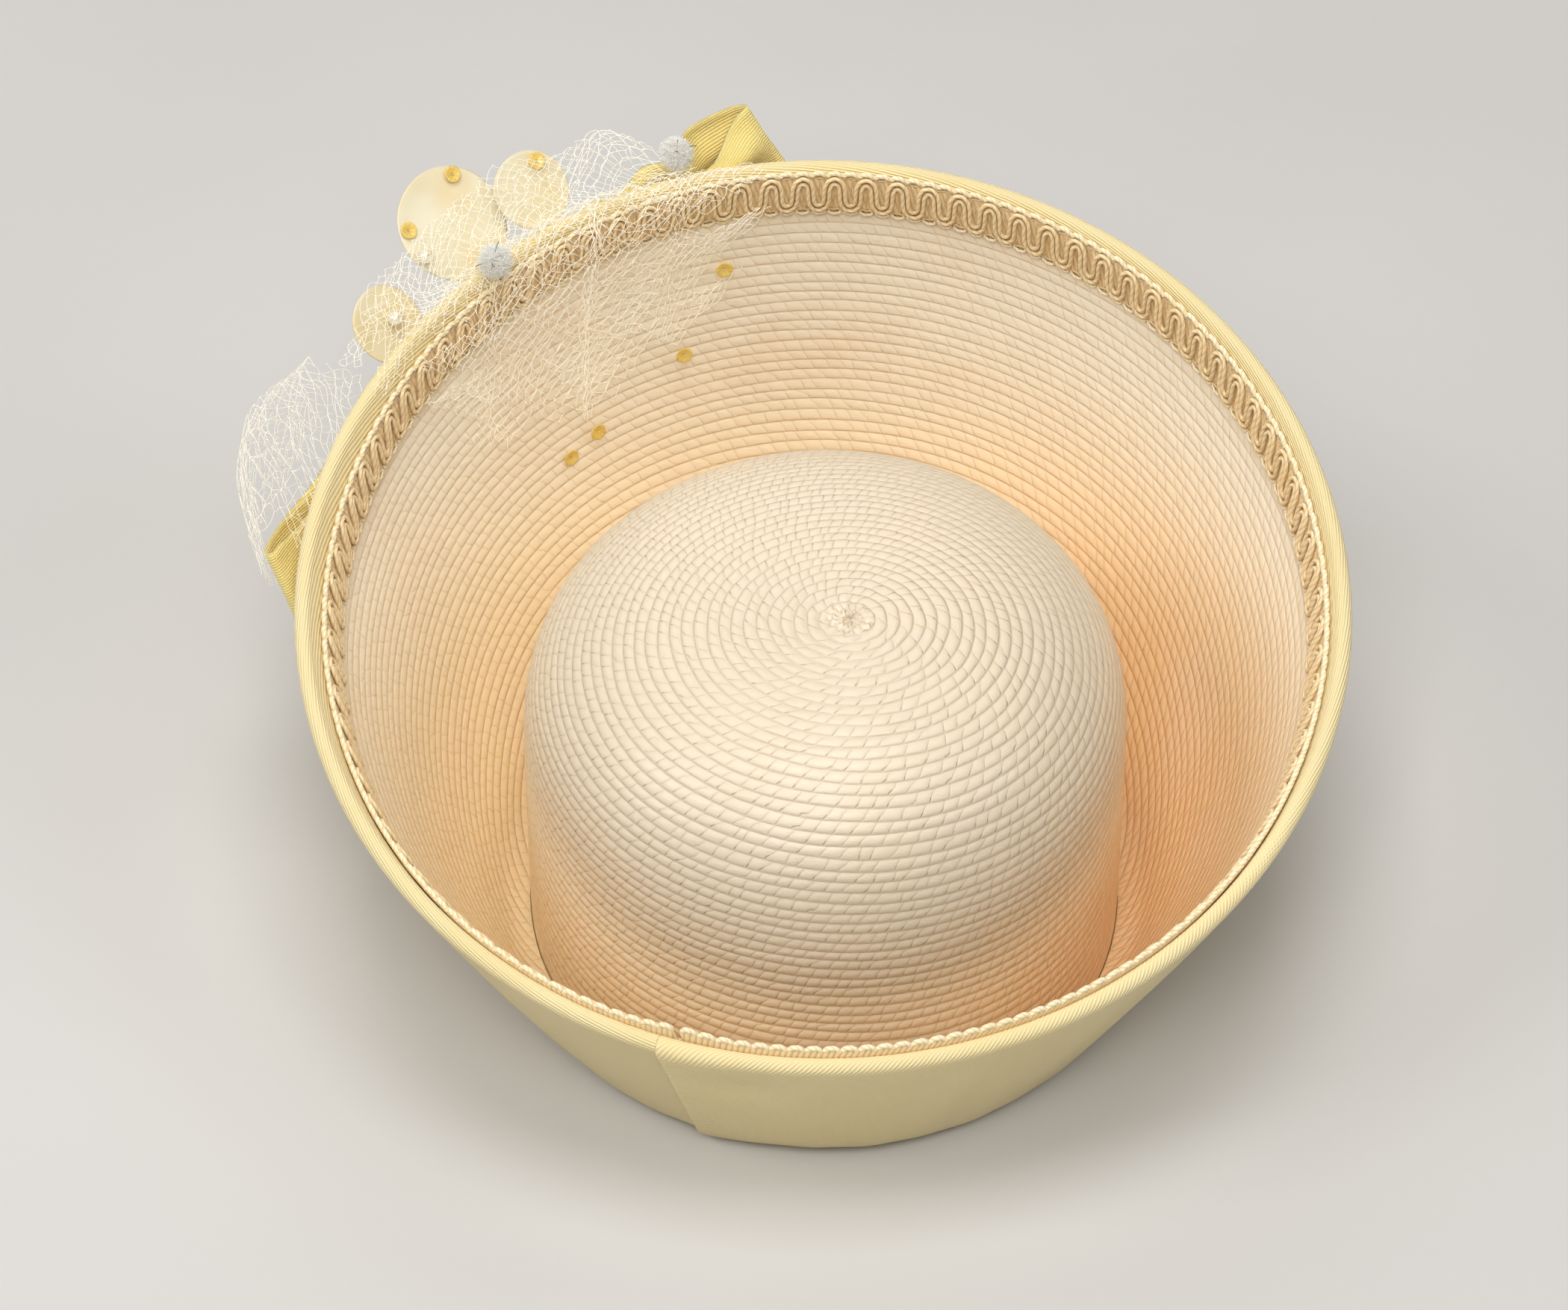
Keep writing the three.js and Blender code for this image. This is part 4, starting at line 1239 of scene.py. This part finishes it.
def along_steps(steps, share):
    """A place on a line of steps, each a (down, off) pair of arrays, at a share of its length."""
    down, off = (
        np.stack([np.broadcast_to(step[k], share.shape) for step in steps], axis=-1) for k in (0, 1)
    )
    run = np.zeros(down.shape)
    run[..., 1:] = np.cumsum(np.hypot(np.diff(down, axis=-1), np.diff(off, axis=-1)), axis=-1)
    want = share * run[..., -1]
    low = np.clip((run < want[..., None]).sum(axis=-1) - 1, 0, len(steps) - 2)[..., None]

    def ends(value):
        return (np.take_along_axis(value, low + k, -1)[..., 0] for k in (0, 1))

    before, after = ends(run)
    t = (want - before) / np.maximum(after - before, 1e-9)
    found = []
    for value in (down, off):
        first, second = ends(value)
        found.append(first * (1 - t) + second * t)
    return found


def inner_surface(u, v, lift):
    """The veil inside the brim, from outside the rolled rim over the gimp to its curved hem."""
    station = station_across(VEIL_INNER, u)
    top = gimp_inset(station)
    swing = np.clip(np.sin(math.pi * u), 0, 1) ** 0.8
    hem = VEIL_INNER["shortest"] + (VEIL_INNER["longest"] - VEIL_INNER["shortest"]) * swing
    past = top + GIMP["width"] + 1
    gimp_face = GIMP["top_off"] + GIMP["thick"] + GAP + NET / 2
    straw_face = STRAW_FACE + GAP + NET / 2 + 0.3
    steps = [
        (0.0, ROLL_CLEAR + 0.4),
        (-ROLL_CLEAR - 0.3, ROLL_CLEAR - 0.3),
        (-ROLL_CLEAR - 0.5, -ROLL_CLEAR + 0.7),
        (top, -gimp_face - 0.5),
        (past, -gimp_face + 1),
        (past + (hem - past) * 0.33, -straw_face),
        (hem, -straw_face),
    ]
    down, off = along_steps(steps, v)
    return wall(station, down, off - lift)


def cluster_surface(u, v, lift):
    """The veil that stands up over the petals, on the side of the hat's middle."""
    height = smooth(u, 0.0, 0.22) * (1 - 0.55 * smooth(u, 0.62, 1.0))
    height = height * (1 + 0.1 * np.sin(u * 17) + 0.07 * np.sin(u * 31 + 1))
    rise = 5 + 13 * height
    steps = [
        (-rise, 4 + 11 * height),
        (-rise * 0.82, 1.5 + 8 * height),
        (-rise * 0.5, 6.5 * height - 1.0),
        (-6.5, -1.5 - 1.0 * height),
        (-3.6, -3.6),
        (1.0, -5.4),
    ]
    down, off = along_steps(steps, v)
    return wall(station_across(VEIL_CLUSTER, u), down, off - lift)


def puff_surface(u, v, lift):
    """The loose puff that stands off the rim and falls over the left loop of the bow."""
    peak = VEIL_PUFF["peak"]
    falling = 1 - smooth(u, peak, 1)
    height = np.where(u < peak, 0.5 + 0.6 * smooth(u, 0, peak), 0.25 + 0.85 * falling)
    reach = np.where(u < peak, 1.0, 0.72 + 0.28 * falling)
    steps = PUFF_STEPS[:1]
    for down, off in PUFF_STEPS[1:]:
        steps.append((down * height if down < 0 else down, off * reach))
    down, off = along_steps(steps, v)
    return wall(station_across(VEIL_PUFF, u), down, off + lift)


def add_knots(skin, centres, radius):
    """Adds a small eight-sided knot at each centre."""
    axes = np.array([[1, 0, 0], [0, 1, 0], [-1, 0, 0], [0, -1, 0], [0, 0, 1], [0, 0, -1]])
    numbers = skin.add_points(centres[:, None] + axes * radius)
    for knot in numbers:
        for k in range(4):
            skin.add_triangle([knot[k], knot[(k + 1) % 4], knot[4]])
            skin.add_triangle([knot[(k + 1) % 4], knot[k], knot[5]])


# The node that each veil stands for, its width and height, its bunches (middle, spread and pull),
# and its layers of net.
# hem_gap and side_gap are how far its hem and its sides may fall short of that size.
VEILS = [
    {
        "name": "veil_inner_net", "node": "veil_inner", "surface": inner_surface,
        "wide": 125.0, "high": 90.0, "bunches": [(52.0, 7.0, 0.85), (24.0, 9.0, 0.5), (88.0, 8.0, 0.5)],
        "layers": [
            {"seed": 11, "cell": (3.8, 5.4), "radius": 0.1, "lift": 0.0, "stray": 1.4,
             "bunched": 3, "hem_gap": 12.0, "side_gap": 22.0},
            {"seed": 12, "cell": (5.0, 6.2), "radius": 0.11, "lift": 0.5, "stray": 2.6,
             "bunched": 2, "hem_gap": 26.0, "side_gap": 40.0},
        ],
    },
    {
        "name": "veil_over_petals_net", "node": None, "surface": cluster_surface,
        "wide": 125.0, "high": 36.0, "bunches": [],
        "layers": [
            {"seed": 21, "cell": (3.4, 4.4), "radius": 0.085, "lift": 0.0, "stray": 1.6,
             "bunched": 0, "hem_gap": 4.0, "side_gap": 14.0},
            {"seed": 22, "cell": (4.4, 5.4), "radius": 0.1, "lift": 1.6, "stray": 2.6,
             "bunched": 0, "hem_gap": 9.0, "side_gap": 22.0},
        ],
    },
    {
        "name": "veil_puff_net", "node": "veil_puff", "surface": puff_surface,
        "wide": 70.0, "high": 75.0, "bunches": [],
        "layers": [
            {"seed": 31, "cell": (5.4, 7.4), "radius": 0.075, "lift": 0.0, "stray": 1.8,
             "bunched": 0, "hem_gap": 8.0, "side_gap": 6.0},
            {"seed": 32, "cell": (6.6, 8.2), "radius": 0.07, "lift": -1.5, "stray": 2.8,
             "bunched": 0, "hem_gap": 16.0, "side_gap": 10.0},
        ],
    },
]


def add_net(skin, veil, layer):
    """Adds one layer of knotted net: diamonds of thread across the veil's surface."""
    rng = np.random.default_rng(layer["seed"])
    wide, high = veil["wide"], veil["high"]
    cell_x, cell_y = layer["cell"]
    columns, rows = int(wide / cell_x * 2), int(high / cell_y * 2)
    i, j = np.meshgrid(np.arange(columns + 1), np.arange(rows + 1), indexing="ij")
    phase = rng.uniform(0, TAU, 6)
    x = i * cell_x / 2 + rng.normal(0, 0.09 * cell_x, i.shape)
    y = j * cell_y / 2 + rng.normal(0, 0.09 * cell_y, i.shape)
    wave_x = np.sin(x / 9 + phase[0]) * np.cos(y / 7 + phase[1])
    wave_x = wave_x + 0.6 * np.sin(y / 3.1 + x / 4 + phase[2])
    wave_y = np.sin(x / 8 + phase[3]) * np.cos(y / 10 + phase[4])
    wave_y = wave_y + 0.6 * np.sin(x / 3.7 - y / 5 + phase[5])
    x = x + layer["stray"] * wave_x
    y = y + layer["stray"] * wave_y
    for centre, spread, pull in veil["bunches"][: layer["bunched"]]:
        away = x - centre - 0.12 * y
        x = x - away * pull * np.exp(-((away / spread) ** 2))
    raised = layer["lift"] + 0.45 * np.sin(x / 5 + phase[1]) * np.sin(y / 6 + phase[3])
    raised = raised + rng.normal(0, 0.12, i.shape)
    ragged = 0.5 + 0.3 * np.sin(x / 6 + phase[0]) + 0.2 * np.sin(x / 2.3 + phase[2])
    hem = high - layer["hem_gap"] * ragged
    first = layer["side_gap"] * (0.5 + 0.5 * np.sin(y / 5 + phase[3]))
    last = wide - layer["side_gap"] * (0.5 + 0.5 * np.sin(y / 4 + phase[4]))
    kept = ((i + j) % 2 == 0) & (y < hem) & (y > -0.5 * cell_y) & (x > first) & (x < last)
    points = np.stack([x, y, raised], axis=-1)
    threads = []
    for a, b in ((np.s_[:-1, :-1], np.s_[1:, 1:]), (np.s_[1:, :-1], np.s_[:-1, 1:])):
        both = kept[a] & kept[b]
        threads.append((points[a][both], points[b][both]))
    start, end = (np.concatenate(ends)[:, None] for ends in zip(*threads))
    share = np.linspace(0, 1, 4)[:, None]
    bow = 4 * share * (1 - share) * rng.normal(0, (0.35, 0.25, 0.1), (len(start), 1, 3))
    lines = start * (1 - share) + end * share + bow

    def placed(line, more=0.0):
        u, v = np.clip(line[..., 0] / wide, 0, 1), np.clip(line[..., 1] / high, 0, 1)
        return veil["surface"](u, v, line[..., 2] + more)

    paths = placed(lines)
    tubes(skin, paths, unit(placed(lines, 1.0) - paths), layer["radius"], 3)
    add_knots(skin, placed(points[kept]), layer["radius"] * 2.3)


def make_veils(net):
    for veil in VEILS:
        skin = Skin()
        for layer in veil["layers"]:
            add_net(skin, veil, layer)
        piece = skin.build(veil["name"], net)
        if veil["node"]:
            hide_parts(veil["node"])


def net_material():
    # The emission is a painted glow: the net gives off a little light of its own, so that its threads
    # look bright over the straw.
    shader = Shader(
        "net",
        Roughness=0.6,
        Sheen_Weight=0.8,
        Sheen_Roughness=0.6,
        Emission_Color=linear(255, 244, 220),
        Emission_Strength=0.28,
    )
    tones = (linear(255, 250, 234), linear(252, 244, 220))
    return thread_material(shader, *tones, scale=80.0, patch_to=0.75, pitch=0.8, relief=0.00003)


def sewing_thread_material(name, light, dark):
    shader = Shader(name, Roughness=0.8)
    return thread_material(shader, light, dark, scale=300.0, patch_to=0.7, pitch=0.5, relief=0.00004)


def petal_material():
    """Thin glossy film, milky and a little clear, yellower in soft patches."""
    shader = Shader("petal", Roughness=0.32, Alpha=0.8, Coat_Weight=0.35, Coat_Roughness=0.12)
    place = shader.place()
    patch = shader.noise(place, 45.0)
    fine = shader.noise(place, 260.0, 4.0)
    colour = shader.paint(linear(244, 236, 206), (patch.rise(0.35, 0.7), linear(238, 218, 166)))
    return shader.finish(colour, fine, 0.00008)


def pearl_material():
    shader = Shader("pearl", Metallic=0.25, Coat_Weight=0.9, Coat_Roughness=0.06, Sheen_Weight=0.3)
    patch = shader.noise(shader.place(), 350.0)
    facing = shader.value("LayerWeight", "Facing", {"Blend": 0.35})
    colour = shader.paint(
        linear(252, 248, 232),
        (facing, linear(226, 206, 176)),
        (patch.rise(0.45, 0.7, 0.0, 0.3), linear(236, 226, 190)),
    )
    return shader.finish(colour, patch, 0.00002, patch.rise(0.2, 0.8, 0.16, 0.26))


def sequin_material():
    shader = Shader("paillette", Alpha=0.8, Coat_Weight=0.6, Coat_Roughness=0.1)
    tones = (linear(250, 222, 120), linear(244, 206, 98))
    return patchy_material(shader, *tones, 400.0, 2.0, 0.3, 0.7, relief=0.00003, gloss=(0.18, 0.3))


def fluff_material():
    # The emission is a painted glow: the fluff gives off a little light of its own, so that it looks
    # brighter.
    shader = Shader(
        "fluff", Roughness=0.95, Emission_Strength=0.07, Emission_Color=linear(255, 246, 228)
    )
    tones = (linear(244, 243, 238), linear(234, 233, 228))
    return patchy_material(shader, *tones, 500.0, 3.0, 0.35, 0.7, relief=0.0002)


# The stage: a pale floor, soft studio light and a camera at the photograph's angle
FOCUS = np.array([-10.8, 37.7, 61.5])
CAMERA = {"elevation": 41.5, "distance": 1500.0, "lens": 121.47, "sensor": 36.0}
FLOOR = {"half": 4.0, "z": -0.0003}
LIGHT_AIM = Vector((0.0, 0.0, 0.07))
LIGHT_SIDE = 1.1
LIGHTS = [
    {"name": "key", "place": (-0.1, -1.5, 1.9), "power": 27.0, "colour": (1.0, 0.99, 0.97)},
    {"name": "top", "place": (0.0, 0.0, 2.2), "power": 21.0, "colour": (1.0, 0.99, 0.97)},
    {"name": "left", "place": (-1.7, -0.4, 1.5), "power": 17.0, "colour": (1.0, 0.99, 0.98)},
    {"name": "right", "place": (1.7, -0.4, 1.5), "power": 9.0, "colour": (1.0, 0.98, 0.96)},
    {"name": "front", "place": (-0.3, 1.7, 1.2), "power": 7.0, "colour": (1.0, 0.99, 0.97)},
]
SKY = {"colour": (1.0, 0.98, 0.95, 1.0), "strength": 0.05}


def look_along(thing, way):
    thing.rotation_mode = "QUATERNION"
    thing.rotation_quaternion = way.to_track_quat("-Z", "Y")


def make_camera():
    tilt = math.radians(CAMERA["elevation"])
    back = np.array([0.0, -math.cos(tilt), math.sin(tilt)])
    camera = add_object("camera", bpy.data.cameras.new("camera"))
    camera.location = in_frame(FOCUS + back * CAMERA["distance"]).tolist()
    look_along(camera, Vector((-back).tolist()))
    camera.data.sensor_fit = "HORIZONTAL"
    camera.data.sensor_width = CAMERA["sensor"]
    camera.data.lens = CAMERA["lens"]
    camera.data.clip_start, camera.data.clip_end = 0.05, 20.0
    bpy.context.scene.camera = camera


def make_lights():
    for row in LIGHTS:
        data = bpy.data.lights.new(row["name"], "AREA")
        data.shape = "RECTANGLE"
        data.size, data.size_y = LIGHT_SIDE, LIGHT_SIDE
        data.energy = row["power"]
        data.color = row["colour"]
        light = add_object(row["name"], data)
        light.location = row["place"]
        look_along(light, LIGHT_AIM - Vector(row["place"]))
    world = bpy.data.worlds.new("studio")
    bpy.context.scene.world = world
    world.use_nodes = True
    sky = world.node_tree.nodes["Background"]
    sky.inputs["Color"].default_value = SKY["colour"]
    sky.inputs["Strength"].default_value = SKY["strength"]


def make_floor():
    half, z = FLOOR["half"], FLOOR["z"]
    mesh = bpy.data.meshes.new("floor")
    corners = [(-half, -half, z), (half, -half, z), (half, half, z), (-half, half, z)]
    mesh.from_pydata(corners, [], [(0, 1, 2, 3)])
    shader = Shader("floor", Roughness=0.75)
    place = shader.place()
    patch = shader.noise(place, 3.0, 3.0)
    colour = shader.paint(linear(206, 204, 202), (patch.rise(0.3, 0.7), linear(201, 199, 196)))
    mesh.materials.append(shader.finish(colour, shader.noise(place, 120.0, 3.0), 0.0001))
    add_object("floor", mesh)


make_camera()
twill = twill_material("twill", linear(248, 230, 176), 0.85, EDGE["station"] * RUN_PER_STATION)
ribbon = twill_material("ribbon", linear(255, 231, 152), 0.8, glow=0.5)
dark_thread = sewing_thread_material("dark_thread", linear(70, 66, 60), linear(38, 36, 34))
pale_thread = sewing_thread_material("pale_thread", linear(246, 232, 182), linear(236, 214, 150))
# Each straw's own tone, then its painted warm shade tone. The brim's own tone is lighter than the
# crown's, partly as painted light for light shining through the thin brim. edge sets the painted shade
# at tucked row edges.
crown_straw_and_painted_shade = (linear(226, 209, 184), linear(238, 207, 162))
brim_straw_painted_light_and_shade = (linear(253, 243, 220), linear(250, 220, 166))
make_crown(straw_material("crown_straw", *crown_straw_and_painted_shade, stitches=0.7, mottle=0.08, edge=0.36))
make_brim(straw_material("brim_straw", *brim_straw_painted_light_and_shade, stitches=0.15, mottle=0.1, edge=0.3))
make_cover(twill)
# Each cord's second tone is painted shade, for the grooves between its plies
hairpin_tone_and_painted_shade = (linear(246, 224, 180), linear(226, 196, 146))
# The backing is toned darker than the hairpins, partly as painted shade round the cords. The rest is
# the tan of its threads.
backing_tone_and_painted_shade = (linear(244, 220, 174), linear(214, 182, 130))
picot_tone_and_painted_shade = (linear(252, 240, 208), linear(236, 214, 166))
make_hairpins(cord_material("gimp", *hairpin_tone_and_painted_shade, pitch=2.4, relief=0.00007, roughness=0.45))
make_gimp_backing(
    cord_material("gimp_backing", *backing_tone_and_painted_shade, pitch=1.6, relief=0.0001, roughness=0.6)
)
make_picots(cord_material("gimp_picots", *picot_tone_and_painted_shade, pitch=1.6, relief=0.0001, roughness=0.6))
for loop_name, loop in LOOPS.items():
    make_loop(loop_name, loop, ribbon)
make_knot(ribbon)
make_petals(petal_material())
make_pearls_and_paillettes(pearl_material(), sequin_material(), pale_thread)
make_pompoms(fluff_material(), dark_thread)
make_veils(net_material())
make_floor()
make_lights()
bpy.context.scene.view_settings.view_transform = "Standard"
